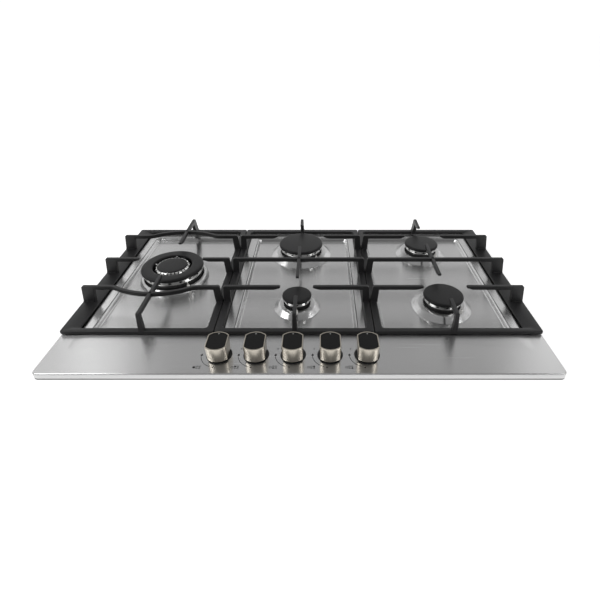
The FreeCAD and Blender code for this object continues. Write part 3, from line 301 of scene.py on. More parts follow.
RUBBER = Finish("rubber_foot", "rubber", (0.022, 0.022, 0.022), 0.75, grain=Grain.MOULDED, relief=0.02)
PLASTIC = Finish("moulded_black_plastic", "black_plastic", (0.025, 0.025, 0.025), 0.45, grain=Grain.MOULDED,
                 relief=0.02)
PALE_WORKTOP = Finish("pale_worktop", "", (0.88, 0.88, 0.88), 0.8, relief=0.0, mottle=0.01, specular=0.1, glow=0.6)

# The CAD nodes whose own shape stays, with the finish of each.
KEPT_NODES = {
    "worktop_gasket": FOAM,
    "bottom_tray": GALVANISED,
    "fixing_brackets": GALVANISED,
    "bracket_screws": ZINC,
    "burner_cups": SHADED_CUP_METAL,
    "gas_injectors": BRASS,
    "burner_bridges": GALVANISED,
    "gas_taps": BRASS,
    "gas_pipes": TUBE,
    "gas_rail": GALVANISED,
    "spark_generator": PLASTIC,
    "ignition_switches": PLASTIC,
    "mains_terminal_box": PLASTIC,
    "pan_support_feet_left": RUBBER,
    "pan_support_feet_centre": RUBBER,
    "pan_support_feet_right": RUBBER,
}


# ---------------------------------------------------------------- forming


@dataclass(frozen=True)
class Extent:
    """A box of the frame, in millimetres.

    Attributes:
        low: Its lowest corner.
        high: Its highest corner.
    """

    low: Vector
    high: Vector

    @classmethod
    def of(cls, node: str) -> Extent:
        """The box of a CAD node at rest."""
        low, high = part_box(node)
        return cls(low * METRE, high * METRE)

    @property
    def middle(self) -> Vector:
        """The box's centre."""
        return (self.low + self.high) / 2


class Forming:
    """A piece under construction in millimetres, and the object that it becomes.

    Attributes:
        blunt: The greatest angle of an edge that stays as it is when the piece is softened.
    """

    blunt = math.radians(25)

    def __init__(self, name: str) -> None:
        """Start an empty piece.

        Args:
            name: The name of the object to come.
        """
        self.name = name
        self.mesh = bmesh.new()
        self.finishes: list[Finish] = []

    def paint(self, faces: Iterable[BMFace], finish: Finish) -> None:
        """Give faces a finish.

        Args:
            faces: The faces.
            finish: Their finish.
        """
        if finish not in self.finishes:
            self.finishes.append(finish)
        for face in faces:
            if face.is_valid:
                face.material_index = self.finishes.index(finish)

    def faces_since(self, known: set[BMFace]) -> list[BMFace]:
        """The faces that weren't there before."""
        return [face for face in self.mesh.faces if face not in known]

    def sheet(self, corners: Sequence[Vector]) -> BMFace:
        """A flat face through its corners."""
        return self.mesh.faces.new([self.mesh.verts.new(corner) for corner in corners])

    def rounded(self, centre: Vector, half: Point, corner: float, segments: int = 8) -> BMFace:
        """A level rectangle with round corners, facing up.

        Args:
            centre: Its centre.
            half: Half its size in X and Y.
            corner: Corner radius.
            segments: Divisions of a corner.

        Returns:
            The face.
        """
        x, y = half
        face = self.sheet([centre + Vector(offset) for offset in
                           ((-x, -y, 0), (x, -y, 0), (x, y, 0), (-x, y, 0))])
        if corner > 0:
            bmesh.ops.bevel(self.mesh, geom=list(face.verts), offset=corner, offset_type="OFFSET",
                            segments=segments, profile=0.5, affect="VERTICES", material=-1)
            face = max((found for found in self.mesh.faces if (found.calc_center_median() - centre).length < WELD),
                       key=lambda found: found.calc_area())
        return face

    def disc(self, centre: Vector, radius: float, segments: int = 96) -> BMFace:
        """A level round face, facing up.

        Args:
            centre: Its centre.
            radius: Its radius.
            segments: Sides of its outline.

        Returns:
            The face.
        """
        made = bmesh.ops.create_circle(self.mesh, cap_ends=True, cap_tris=False, segments=segments, radius=radius,
                                       matrix=Matrix.Translation(centre))
        return made["verts"][0].link_faces[0]

    def open(self, face: BMFace) -> list[BMEdge]:
        """Take a face away and keep its rim.

        Args:
            face: The face.

        Returns:
            The edges round it.
        """
        rim = list(face.edges)
        bmesh.ops.delete(self.mesh, geom=[face], context="FACES_ONLY")
        return rim

    def fill(self, *rims: Sequence[BMEdge]) -> list[BMFace]:
        """Fill the level surface between an outer rim and the holes in it.

        Args:
            rims: The rims, the outer one among them.

        Returns:
            The faces.
        """
        made = bmesh.ops.triangle_fill(self.mesh, use_beauty=True, use_dissolve=False, normal=UP,
                                       edges=[edge for rim in rims for edge in rim])
        return [item for item in made["geom"] if isinstance(item, BMFace)]

    def stepped(self, face: BMFace, steps: Sequence[Point]) -> BMFace:
        """Inset a face again and again.

        Args:
            face: The face.
            steps: The inset and the rise along the face's normal, of each step.

        Returns:
            The face that is left in the middle.
        """
        for inset, rise in steps:
            bmesh.ops.inset_region(self.mesh, faces=[face], thickness=inset, depth=rise, use_boundary=True,
                                   use_even_offset=True)
        return face

    def extend(self, rim: Iterable[BMEdge]) -> tuple[list[BMVert], list[BMEdge]]:
        """Start a new ring of faces from a rim.

        Args:
            rim: The rim's edges.

        Returns:
            The new rim's vertices and edges, still in the old one's place.
        """
        made = bmesh.ops.extrude_edge_only(self.mesh, edges=list(rim))["geom"]
        verts = [item for item in made if isinstance(item, BMVert)]
        known = set(verts)
        return verts, [item for item in made if isinstance(item, BMEdge) and known.issuperset(item.verts)]

    def draw_out(self, rim: Iterable[BMEdge], centre: Vector, steps: Sequence[Point]) -> None:
        """Draw a round rim through radii and heights.

        Args:
            rim: The edges of a level circle.
            centre: The circle's centre.
            steps: The radius and the height of each new ring.
        """
        for radius, height in steps:
            ring, rim = self.extend(rim)
            share = radius / (ring[0].co - centre).to_2d().length
            bmesh.ops.scale(self.mesh, vec=(share, share, 1.0), verts=ring, space=Matrix.Translation(-centre))
            bmesh.ops.translate(self.mesh, vec=(0, 0, height - ring[0].co.z), verts=ring)

    def loft(self, rings: Sequence[Sequence[Vector]]) -> list[BMFace]:
        """Skin a solid over closed rings of as many points each, with a flat face on its first and its last.

        Args:
            rings: The rings' points.

        Returns:
            The solid's faces, the last ring's own face at the end.
        """
        rows = [[self.mesh.verts.new(point) for point in ring] for ring in rings]
        made = [self.mesh.faces.new(rows[0])]
        for one, other in zip(rows, rows[1:]):
            made += [self.mesh.faces.new((one[index - 1], one[index], other[index], other[index - 1]))
                     for index in range(len(one))]
        return [*made, self.mesh.faces.new(rows[-1])]

    def thicken(self, faces: Sequence[BMFace], along: Vector) -> list[BMFace]:
        """Make flat faces that join solid.

        Args:
            faces: The faces.
            along: How far and which way the other side lies.

        Returns:
            The solid's faces.
        """
        known = set(self.mesh.faces) - set(faces)
        made = bmesh.ops.extrude_face_region(self.mesh, geom=list(faces))["geom"]
        bmesh.ops.translate(self.mesh, vec=along, verts=[item for item in made if isinstance(item, BMVert)])
        return self.faces_since(known)

    def soften(self, faces: Iterable[BMFace], width: float) -> None:
        """Round the sharp edges of some faces.

        Args:
            faces: The faces.
            width: Width of the rounding.
        """
        edges = {edge for face in faces if face.is_valid for edge in face.edges}
        sharp = [edge for edge in edges if len(edge.link_faces) == 2 and edge.calc_face_angle(0.0) > self.blunt]
        bmesh.ops.bevel(self.mesh, geom=sharp, offset=width, offset_type="OFFSET", segments=2, profile=0.5,
                        affect="EDGES", clamp_overlap=True, material=-1)

    def revolve(self, axis: Vector, profile: Sequence[Point], steps: int = 96, closed: bool = False,
                start: float = 0.0, sweep: float = FULL_TURN) -> list[BMFace]:
        """Turn a profile about an upright axis.

        Args:
            axis: A point of the axis.
            profile: Radii and heights.
            steps: Divisions of the turn.
            closed: Whether the profile's last point joins its first.
            start: Bearing at which the turn starts, in radians.
            sweep: The turn, in radians.

        Returns:
            The new faces.
        """
        known = set(self.mesh.faces)
        points = [self.mesh.verts.new((axis.x + radius * math.cos(start), axis.y + radius * math.sin(start), height))
                  for radius, height in profile]
        edges = [self.mesh.edges.new(pair) for pair in zip(points, points[1:])]
        whole = math.isclose(sweep, FULL_TURN)
        geometry: list[BMVert | BMEdge | BMFace] = [*points, *edges]
        if closed:
            geometry.append(self.mesh.edges.new((points[-1], points[0])))
            if not whole:
                geometry = [self.mesh.faces.new(points)]
        bmesh.ops.spin(self.mesh, geom=geometry, cent=axis, axis=UP, angle=sweep, steps=steps, use_merge=whole,
                       use_duplicate=False)
        bmesh.ops.remove_doubles(self.mesh, verts=self.mesh.verts, dist=WELD)
        return self.faces_since(known)

    def as_object(self, sharp: float) -> bpy.types.Object:
        """Turn the piece into an object in metres, with its faces turned out.

        Args:
            sharp: The least angle of a crisp edge, in degrees.

        Returns:
            The object.
        """
        bmesh.ops.remove_doubles(self.mesh, verts=self.mesh.verts, dist=WELD)
        bmesh.ops.recalc_face_normals(self.mesh, faces=self.mesh.faces)
        bmesh.ops.scale(self.mesh, vec=(1 / METRE,) * 3, verts=self.mesh.verts)
        for face in self.mesh.faces:
            face.smooth = True
        data = bpy.data.meshes.new(self.name)
        self.mesh.to_mesh(data)
        self.mesh.free()
        data.set_sharp_from_angle(angle=math.radians(sharp))
        for finish in self.finishes:
            data.materials.append(finish.material())
        piece = bpy.data.objects.new(self.name, data)
        bpy.context.scene.collection.objects.link(piece)
        return piece

    def finish(self, body: str, *, replaces: Sequence[str] = (), sharp: float = 32.0, wall: float = 0.0) -> None:
        """Turn the piece into an object that rides on a body.

        Args:
            body: The CAD body that it moves with.
            replaces: The CAD nodes that it stands for.
            sharp: The least angle of a crisp edge, in degrees.
            wall: Thickness that a sheet gets on its inner side.
        """
        piece = self.as_object(sharp)
        if wall:
            solid = piece.modifiers.new("Wall", "SOLIDIFY")
            solid.thickness = wall / METRE
            solid.offset = -1.0
        weighted = piece.modifiers.new("Normals", "WEIGHTED_NORMAL")
        weighted.keep_sharp = True
        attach(piece, body)
        if replaces:
            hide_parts(*replaces)
        LOG.info("%s: %d faces on %s", self.name, len(piece.data.polygons), body)


# ---------------------------------------------------------------- burners


@dataclass
class Burner:
    """One burner, from the skirt's hole up.

    Attributes:
        name: Its name in the frame, before "_cap".
        ports: Flame ports round its outer ring.
        skirt: Radius of the panel's raised skirt on the well floor.
        bearing: The electrode's bearing from +X, in degrees.
        overhang: Cap beyond the crown's wall.
        wall: Thickness of the crown.
        gap: Crown inside the skirt's hole.
        seat: The crown's foot above the worktop.
        neck: How far the neck, painted dark as shade, stands back from the crown's wall.
        lip: Height of the crown's lip, from the ports up to the cap.
        port_height: Height of the ports.
        tooth_share: Share of the turn that the teeth between the ports take.
        electrode_reach: Electrode's axis beyond the cap's edge.
    """

    name: str
    ports: int
    skirt: float
    bearing: float = -50.0
    overhang: float = 3.0
    wall: float = 5.0
    gap: float = 1.0
    seat: float = 14.0
    neck: float = 3.2
    lip: float = 2.2
    port_height: float = 3.4
    tooth_share: float = 0.72
    electrode_reach: float = 5.5

    def __post_init__(self) -> None:
        """Read the cap's place and size from the frame."""
        self.cap = Extent.of(self.cap_node)

    @property
    def cap_node(self) -> str:
        """The CAD node of the cap that lies on the crown."""
        return f"{self.name}_cap"

    @property
    def centre(self) -> Vector:
        """The burner's axis at the worktop."""
        return Vector((self.cap.middle.x, self.cap.middle.y, 0.0))

    @property
    def cap_radius(self) -> float:
        """The cap's outer radius."""
        return (self.cap.high.x - self.cap.low.x) / 2

    @property
    def crown_radius(self) -> float:
        """Outer radius of the crown's wall."""
        return self.cap_radius - self.overhang

    @property
    def hole_radius(self) -> float:
        """Radius of the hole in the skirt."""
        return self.crown_radius + self.gap

    def build(self) -> None:
        """Make the crown, the caps and the electrode."""
        self._crown()
        self._caps()
        self._electrode()

    def _caps(self) -> None:
        """The burner's one cap."""
        self._cap(self.cap_node)

    def _crown(self) -> None:
        """The flame spreader: a foot, a row of ports between teeth, and a thin lip under the cap."""
        piece = Forming(f"{self.name}_crown")
        radius, top = self.crown_radius, self.cap.low.z
        inner, waist = radius - self.wall, (self.seat + top) / 2
        lintel = top - self.lip
        sill = lintel - self.port_height
        neck = piece.revolve(self.centre, [
            (inner, self.seat), (radius - self.neck, self.seat), (radius - self.neck, waist), (inner, waist),
        ], closed=True)
        wall = piece.revolve(self.centre, [
            (inner, waist - 0.4), (radius - 1.4, waist - 0.4), (radius - 0.3, waist + 0.4), (radius, waist + 1.4),
            (radius, sill), (inner, sill),
        ], closed=True)
        lip = piece.revolve(self.centre, [
            (inner, lintel), (radius, lintel), (radius + 0.3, lintel + 0.6), (radius + 1.2, lintel + 1.0),
            (radius + 1.2, top - 0.2), (radius + 0.9, top), (inner, top),
        ], closed=True)
        teeth: list[BMFace] = []
        for index in range(self.ports):
            teeth += piece.revolve(self.centre, [
                (inner + 1.0, sill), (radius, sill), (radius, lintel), (inner + 1.0, lintel),
            ], steps=8, closed=True, start=FULL_TURN * (index + 0.5 * (1 - self.tooth_share)) / self.ports,
                sweep=FULL_TURN * self.tooth_share / self.ports)
        piece.paint([*wall, *lip, *teeth], CROWN_METAL)
        # the neck under the crown's wall is painted dark, a painted shade
        piece.paint(neck, SHADED_CUP_METAL)
        piece.finish("hob", replaces=["burner_crowns"])

    def _cap(self, node: str) -> None:
        """A round enamelled cap: slightly domed, with a soft shoulder and a hollow underside.

        Args:
            node: The CAD cap that it stands for.
        """
        piece = Forming(f"{node}_enamel")
        box = Extent.of(node)
        radius = (box.high.x - box.low.x) / 2
        low, top = box.low.z, box.high.z
        faces = piece.revolve(self.centre, [
            (0, top), (radius * 0.55, top), (radius - 4.0, top - 0.25), (radius - 1.9, top - 0.6),
            (radius - 0.8, top - 1.3), (radius - 0.15, top - 2.4), (radius, top - 3.4), (radius, low + 0.7),
            (radius - 0.6, low), (radius - 6.0, low), (radius - 7.0, low + 1.6), (0, low + 1.6),
        ])
        piece.paint(faces, CAP_ENAMEL)
        piece.finish(node, replaces=[node])

    def _electrode(self) -> None:
        """The spark electrode: a white ceramic with a collar, and a steel pin with a flat head."""
        box = Extent.of("spark_electrodes")
        angle = math.radians(self.bearing)
        reach = self.cap_radius + self.electrode_reach
        axis = self.centre + Vector((math.cos(angle), math.sin(angle), 0)) * reach
        piece = Forming(f"{self.name}_electrode")
        top = box.high.z
        ceramic = piece.revolve(axis, [
            (0, box.low.z), (3.0, box.low.z), (3.0, top - 4.0), (2.6, top - 3.4), (2.6, top - 0.7),
            (1.9, top), (0, top),
        ], steps=24)
        pin = piece.revolve(axis, [(0, top - 0.5), (0.9, top - 0.5), (0.9, top + 3.6), (1.5, top + 3.6),
                                   (1.5, top + 4.8), (0, top + 4.8)], steps=16)
        piece.paint(ceramic, CERAMIC)
        piece.paint(pin, PIN_STEEL)
        piece.finish("hob", replaces=["spark_electrodes"])


@dataclass
class WokBurner(Burner):
    """The wok burner: a ring cap and, in its hole, a second crown with a cap of its own.

    Attributes:
        hole: Radius of the ring cap's hole.
        core_wall: The second crown's outer face beyond its cap.
        core_teeth: Teeth round the second crown.
        core_ribs: Ribs round the second crown that stand taller than its teeth.
        rib_width: Width of a rib.
    """

    hole: float = 41.0
    core_wall: float = 3.6
    core_teeth: int = 28
    core_ribs: int = 4
    rib_width: float = 2.4

    @property
    def cap_node(self) -> str:
        """The CAD node of the ring cap."""
        return "wok_ring_cap"

    def _caps(self) -> None:
        """The second crown, the ring cap and the cap in its hole."""
        self._core("wok_inner_cap")
        self._ring_cap()
        self._cap("wok_inner_cap")

    def _core(self, node: str) -> None:
        """The second crown: a bright toothed ring with taller ribs round the inner cap.

        Args:
            node: The CAD cap that lies on it.
        """
        piece = Forming("wok_core_crown")
        cap = Extent.of(node)
        radius = (cap.high.x - cap.low.x) / 2 + self.core_wall
        sill, top = cap.low.z + 1.2, cap.low.z + 4.4
        faces = piece.revolve(self.centre, [
            (radius - 3.3, self.seat), (radius, self.seat), (radius, sill - 3.0), (radius + 0.6, sill - 1.0),
            (radius + 0.4, sill), (radius - 3.3, sill),
        ], closed=True)
        for index in range(self.core_teeth):
            faces += piece.revolve(self.centre, [
                (radius - 3.2, sill), (radius + 0.4, sill), (radius - 0.2, sill + 1.4), (radius - 2.4, top),
                (radius - 3.2, top),
            ], steps=3, closed=True, start=FULL_TURN * index / self.core_teeth,
                sweep=FULL_TURN * 0.7 / self.core_teeth)
        turn = self.rib_width / radius
        for index in range(self.core_ribs):
            faces += piece.revolve(self.centre, [
                (radius - 2.4, sill - 4.0), (radius + 2.2, sill - 4.0), (radius + 1.6, top + 2.0),
                (radius - 0.6, top + 3.2), (radius - 2.0, top + 2.0),
            ], steps=2, closed=True, start=FULL_TURN * index / self.core_ribs - turn / 2, sweep=turn)
        piece.paint(faces, CROWN_METAL)
        piece.finish("hob", replaces=["burner_crowns"])

    def _ring_cap(self) -> None:
        """The outer cap, an enamelled ring."""
        piece = Forming("wok_ring_cap_enamel")
        hole, radius, low, top = self.hole, self.cap_radius, self.cap.low.z, self.cap.high.z
        faces = piece.revolve(self.centre, [
            (hole, low), (hole, top - 2.2), (hole + 0.5, top - 1.0), (hole + 1.6, top - 0.3), (hole + 4.0, top),
            (radius - 7.0, top), (radius - 3.0, top - 0.5), (radius - 1.2, top - 1.2), (radius - 0.3, top - 2.2),
            (radius, top - 3.4), (radius, low + 0.7), (radius - 0.6, low),
        ], closed=True)
        piece.paint(faces, CAP_ENAMEL)
        piece.finish(self.cap_node, replaces=[self.cap_node])


# ---------------------------------------------------------------- panel


@dataclass(frozen=True)
class Well:
    """A well pressed into the panel.

    Attributes:
        left: Its left edge.
        right: Its right edge.
        burners: The names of the burners that stand in it.
    """

    left: float
    right: float
    burners: tuple[str, ...]


@dataclass
class Panel:
    """The brushed steel panel, with its wells, skirts and printed marks.

    Attributes:
        burners: The burners.
        wells: The wells, from the left.
        well_front: Front edge of the wells.
        well_rear: Rear edge of the wells.
        well_depth: Depth of the wells.
        well_slope: Run of a well's wall in plan.
        well_corner: Corner radius of a well.
        corner: Corner radius of the panel in plan.
        edge: Radius of the turned-down edge.
        hem: Width of the lip under the edge.
        sheet: Thickness of the steel.
        skirt_height: Raised skirt above the well floor.
        skirt_land: Share of a skirt's width that is level at its top.
        skirt_brow: Rounding between a skirt's cone and its land.
        spindle_hole: Radius of a hole for a knob's spindle.
    """

    burners: Sequence[Burner]
    wells: tuple[Well, ...] = (
        Well(-381, -169, ("wok",)),
        Well(-124, 103, ("rapid", "auxiliary")),
        Well(144, 381, ("semi_rear", "semi_front")),
    )
    well_front: float = -157.0
    well_rear: float = 217.0
    well_depth: float = 8.0
    well_slope: float = 9.0
    well_corner: float = 12.0
    corner: float = 9.0
    edge: float = 2.4
    hem: float = 14.0
    sheet: float = 1.0
    skirt_height: float = 9.5
    skirt_land: float = 0.40
    skirt_brow: float = 2.6
    spindle_hole: float = 5.0

    def __post_init__(self) -> None:
        """Read the panel's outline and top from the frame."""
        self.box = Extent.of("hob_panel")

    def build(self, knobs: Sequence[Knob]) -> None:
        """Press the sheet and print its marks.

        Args:
            knobs: The knobs, whose spindles pass through the sheet.
        """
        piece = Forming("panel_sheet")
        holes = [piece.open(self._outline(piece)), *(self._well(piece, well) for well in self.wells)]
        for knob in knobs:
            holes.append(piece.open(piece.disc(knob.axis + UP * self.box.high.z, self.spindle_hole, 24)))
        piece.fill(*holes)
        piece.paint(piece.mesh.faces, BRUSHED_STEEL)
        rim = self.box.high.z - self.edge
        # the edge's upright wall and its lip get the darker steel, a painted dark reflection
        piece.paint([face for face in piece.mesh.faces if all(vert.co.z < rim + WELD for vert in face.verts)
                     and not self._inside(face)], DARK_REFLECTION_EDGE_STEEL)
        piece.finish("hob", replaces=["hob_panel"], sharp=40.0, wall=self.sheet)
        for knob in knobs:
            knob.marks(self.box.high.z)

    def _inside(self, face: BMFace) -> bool:
        """Whether a face lies within the wells, and not at the panel's edge.

        Args:
            face: The face.

        Returns:
            True for a face of a well or of a skirt.
        """
        middle = face.calc_center_median()
        return (self.box.low.x + 2 * self.hem < middle.x < self.box.high.x - 2 * self.hem
                and self.box.low.y + 2 * self.hem < middle.y < self.box.high.y - 2 * self.hem)

    def _outline(self, piece: Forming) -> BMFace:
        """The turned-down edge, its lip, and the face that is left for the top.

        Args:
            piece: The sheet.

        Returns:
            The face inside the edge's rounding, at the panel's top.
        """
        low, high = self.box.low, self.box.high
        centre = Vector((self.box.middle.x, self.box.middle.y, high.z - self.edge))
        half = ((high.x - low.x) / 2, (high.y - low.y) / 2)
        face = piece.rounded(centre, half, self.corner, 8)
        rim = list(face.edges)
        turns = 6
        arc = [(self.edge * (1 - math.cos(turn)), self.edge * math.sin(turn))
               for turn in (math.pi / 2 * index / turns for index in range(turns + 1))]
        face = piece.stepped(face, [(after[0] - before[0], after[1] - before[1])
                                    for before, after in zip(arc, arc[1:])])
        wall, foot = piece.extend(rim)
        bmesh.ops.translate(piece.mesh, vec=(0, 0, low.z - wall[0].co.z), verts=wall)
        lip, _ = piece.extend(foot)
        bmesh.ops.scale(piece.mesh, vec=(1 - self.hem / half[0], 1 - self.hem / half[1], 1), verts=lip,
                        space=Matrix.Translation(-centre))
        return face

    def _well(self, piece: Forming, well: Well) -> list[BMEdge]:
        """Press a well and raise its skirts.

        Args:
            piece: The sheet.
            well: The well.

        Returns:
            The well's rim, in the panel's top.
        """
        centre = Vector(((well.left + well.right) / 2, (self.well_front + self.well_rear) / 2, self.box.high.z))
        half = ((well.right - well.left) / 2, (self.well_rear - self.well_front) / 2)
        face = piece.rounded(centre, half, self.well_corner, 12)
        rim = list(face.edges)
        falls = 12
        depths = [self.well_depth * (1 - math.cos(math.pi * index / falls)) / 2 for index in range(falls + 1)]
        floor = piece.stepped(face, [(self.well_slope / falls, before - after)
                                     for before, after in zip(depths, depths[1:])])
        level = self.box.high.z - self.well_depth
        rims = [piece.open(floor)]
        for burner in self.burners:
            if burner.name in well.burners:
                rims.append(self._skirt(piece, burner, level))
        piece.fill(*rims)
        return rim

    def _skirt(self, piece: Forming, burner: Burner, level: float) -> list[BMEdge]:
        """Raise the bulged skirt round a burner.

        Args:
            piece: The sheet.
            burner: The burner.
            level: The well's floor.

        Returns:
            The skirt's rim, in the well's floor.
        """
        centre = burner.centre + UP * level
        rim = piece.open(piece.disc(centre, burner.skirt))
        hole, top = burner.hole_radius, level + self.skirt_height
        foot = Vector((burner.skirt, level + 1.4))
        brow = Vector((hole + self.skirt_land * (burner.skirt - hole), top))
        start = brow - (brow - foot).normalized() * self.skirt_brow
        end = brow - Vector((self.skirt_brow, 0))
        turns = 6
        arc = [(start * (1 - share) ** 2 + brow * 2 * share * (1 - share) + end * share ** 2)[:]
               for share in (index / turns for index in range(1, turns + 1))]
        piece.draw_out(rim, centre, [
            (burner.skirt - 0.15, level + 0.8), (foot.x - 0.3, foot.y), start[:], *arc, (hole + 1.0, top),
            (hole + 0.3, top - 0.3), (hole, top - 1.0), (hole, top - 3.0),
        ])
        return rim


# ---------------------------------------------------------------- knobs


@dataclass
class Knob:
    """A knob with two flats, its black seal disc on the panel, which also stands for the shade under the knob as
    painted shade, and the marks printed beside it.

    Attributes:
        number: Its number from the left.
        flats: Across the flats.
        corner: Radius where a flat meets the round.
        rim: Width of the bright rim round the inlay.
        gap: Space between the panel and the knob.
        spindle: Radius of the spindle.
        seal_hole: Radius of the hole in the seal.
        seal_and_shade_radius: Radius of the seal, whose black also stands for the shade under the knob.
        mark_radius: Radius of the printed arc.
        mark_width: Width of the printed arc.
        mark_turn: Bearing at which the arc starts and its sweep, in degrees.
        flames: Bearing and length of each printed flame.
        spark: Bearing of the printed spark.
        spark_reach: Half the length of a stroke of the spark.
        spark_width: Width of such a stroke.
        ink_level: Underside of the print above the panel.
        ink: Thickness of the print.
        plan: Place and radius of each burner in the printed plan, in the knobs' order.
        plan_place: The plan's middle, from the knob's axis.
        plan_line: Width of the plan's rings.
    """

    number: int
    flats: float = 35.0
    corner: float = 4.0
    rim: float = 0.9
    gap: float = 3.5
    spindle: float = 4.0
    seal_hole: float = 5.2
    seal_and_shade_radius: float = 21.6
    mark_radius: float = 29.5
    mark_width: float = 0.9
    mark_turn: Point = (188.0, 62.0)
    flames: tuple[Point, ...] = ((180.0, 6.4), (259.0, 4.2))
    spark: float = 152.0
    spark_reach: float = 1.7
    spark_width: float = 0.44
    ink_level: float = 0.01
    ink: float = 0.03
    plan: tuple[tuple[float, float, float], ...] = (
        (-4.8, 0.0, 2.3), (0.0, 2.0, 1.8), (0.0, -2.0, 1.5), (4.4, 2.0, 1.7), (4.4, -2.0, 1.7),
    )
    plan_place: Point = (-31.0, -29.5)
    plan_line: float = 0.7

    def __post_init__(self) -> None:
        """Read the knob's place from the frame."""
        self.box = Extent.of(f"knob_{self.number}")
        self.radius = (self.box.high.y - self.box.low.y) / 2
        self.axis = Vector((self.box.middle.x, self.box.middle.y, 0.0))

    def build(self, panel_top: float) -> None:
        """Make the knob and the black seal under it, which is also painted shade.

        Args:
            panel_top: The panel's top.
        """
        piece = Forming(f"knob_{self.number}_shell")
        base, top = panel_top + self.gap, self.box.high.z
        shell = piece.loft([self._ring(inset, level) for inset, level in (
            (2.6, base + 9.0), (2.6, base + 0.3), (2.2, base), (1.3, base), (0.9, base + 0.4), (0.3, top - 10.0),
            (0.0, top - 2.4), (0.0, top - 1.0), (0.12, top - 0.5), (0.4, top - 0.12), (0.75, top),
            (0.75 + self.rim, top), (0.9 + self.rim, top - 0.6),
        )])
        piece.paint(shell, KNOB_NICKEL)
        # the roof of the hollow underside gets the same black, painted shade inside the knob
        piece.paint(shell[:1], SEAL_AND_SHADE_BLACK)
        bmesh.ops.delete(piece.mesh, geom=[shell[-1]], context="FACES_ONLY")
        inlay = piece.loft([self._ring(self.rim + inset, level) for inset, level in
                            ((0.9, top - 0.6), (1.3, top - 0.45), (2.2, top - 0.4))])
        bmesh.ops.delete(piece.mesh, geom=[inlay[0]], context="FACES_ONLY")
        piece.paint(inlay[1:], KNOB_BLACK)
        self._stem(piece, base)
        self._pointer(piece)
        piece.finish(f"knob_{self.number}", replaces=[f"knob_{self.number}"])
        # a thin black seal disc on the panel, darkening the area under the knob: partly real seal, partly painted
        # shade
        seal = Forming(f"knob_{self.number}_seal")
        ring = seal.revolve(self.axis, [
            (self.seal_hole, panel_top), (self.seal_and_shade_radius, panel_top), (self.seal_and_shade_radius, panel_top + 0.25),
            (self.seal_and_shade_radius - 0.4, panel_top + 0.4), (self.seal_hole, panel_top + 0.4),
        ], closed=True, steps=72)
        seal.paint(ring, SEAL_AND_SHADE_BLACK)
        seal.finish("hob")

    def _ring(self, inset: float, level: float) -> list[Vector]:
        """The knob's outline: a circle cut by two flats, with soft corners.

        Args:
            inset: How far it is drawn in.
            level: Its height.

        Returns:
            Its points, anticlockwise.
        """
        corner = self.corner - inset
        radius, across = self.radius - inset, self.flats / 2 - inset - corner
        along = math.sqrt((radius - corner) ** 2 - across ** 2)
        meet = math.atan2(along, across)
        quarter = [(across + corner * math.cos(turn), along + corner * math.sin(turn))
                   for turn in (meet * index / 6 for index in range(6))]
        quarter += [(radius * math.cos(turn), radius * math.sin(turn))
                    for turn in (meet + (math.pi / 2 - meet) * index / 14 for index in range(14))]
        right = [*quarter, (0.0, radius), *((-x, y) for x, y in reversed(quarter))]
        return [self.axis + Vector((x, y, level)) for x, y in [*right, *((-x, -y) for x, y in right)]]

    def _stem(self, piece: Forming, base: float) -> None:
        """The spindle, from inside the knob down.

        Args:
            piece: The knob.
            base: The knob's underside.
        """
        faces = piece.revolve(self.axis, [(0, base + 8.0), (self.spindle, base + 8.0),
                                          (self.spindle, self.box.low.z), (0, self.box.low.z)], steps=24)
        piece.paint(faces, PIN_STEEL)

    def _pointer(self, piece: Forming) -> None:
        """The small pale mark at the rear of the inlay, which points at off.

        Args:
            piece: The knob.
        """
        top, half, near, far = self.box.high.z - 0.41, 0.45, self.radius - 6.5, self.radius - 3.4
        face = piece.sheet([self.axis + Vector((x, y, top)) for x, y in
                            ((-half, near), (half, near), (half, far), (-half, far))])
        piece.paint(piece.thicken([face], UP * 0.08), MARK_WHITE)

    def marks(self, panel_top: float) -> None:
        """Print the arc, the two flames, the spark and the plan of the burners.

        Args:
            panel_top: The panel's top.
        """
        piece = Forming(f"knob_{self.number}_print")
        low, outer = panel_top + self.ink_level, self.mark_radius + self.mark_width
        start, sweep = (math.radians(part) for part in self.mark_turn)
        piece.revolve(self.axis, [(self.mark_radius, low), (outer, low), (outer, low + self.ink),
                                  (self.mark_radius, low + self.ink)],
                      steps=24, closed=True, start=start, sweep=sweep)
        for bearing, length in self.flames:
            self._flame(piece, bearing, length, low)
        self._spark(piece, self.spark, low)
        self._plan(piece, low)
        piece.paint(piece.mesh.faces, PRINT_BLACK)
        piece.finish("hob")

    def _flame(self, piece: Forming, bearing: float, length: float, low: float) -> None:
        """A printed flame, upright to the reader.

        Args:
            piece: The print.
            bearing: Its bearing round the knob, in degrees.
            length: Its length.
            low: Height of the print's underside.
        """
        angle = math.radians(bearing)
        foot = self.axis + Vector((math.cos(angle), math.sin(angle), 0)) * self.mark_radius
        shape = ((0, -0.5), (0.26, -0.36), (0.34, -0.1), (0.16, 0.14), (0.02, 0.5), (-0.10, 0.12), (-0.32, -0.08),
                 (-0.28, -0.36))
        face = piece.sheet([Vector((foot.x + x * length, foot.y + y * length, low)) for x, y in shape])
        piece.thicken([face], UP * self.ink)

    def _spark(self, piece: Forming, bearing: float, low: float) -> None:
        """The printed spark: three short crossed strokes.

        Args:
            piece: The print.
            bearing: Its bearing round the knob, in degrees.
            low: Height of the print's underside.
        """
        angle = math.radians(bearing)
        middle = self.axis + Vector((math.cos(angle), math.sin(angle), 0)) * (self.mark_radius + 1.0)
        strokes = 3
        for turn in range(strokes):
            way = Vector((math.cos(math.pi * turn / strokes), math.sin(math.pi * turn / strokes), 0))
            along, across = way * self.spark_reach, Vector((-way.y, way.x, 0)) * self.spark_width / 2
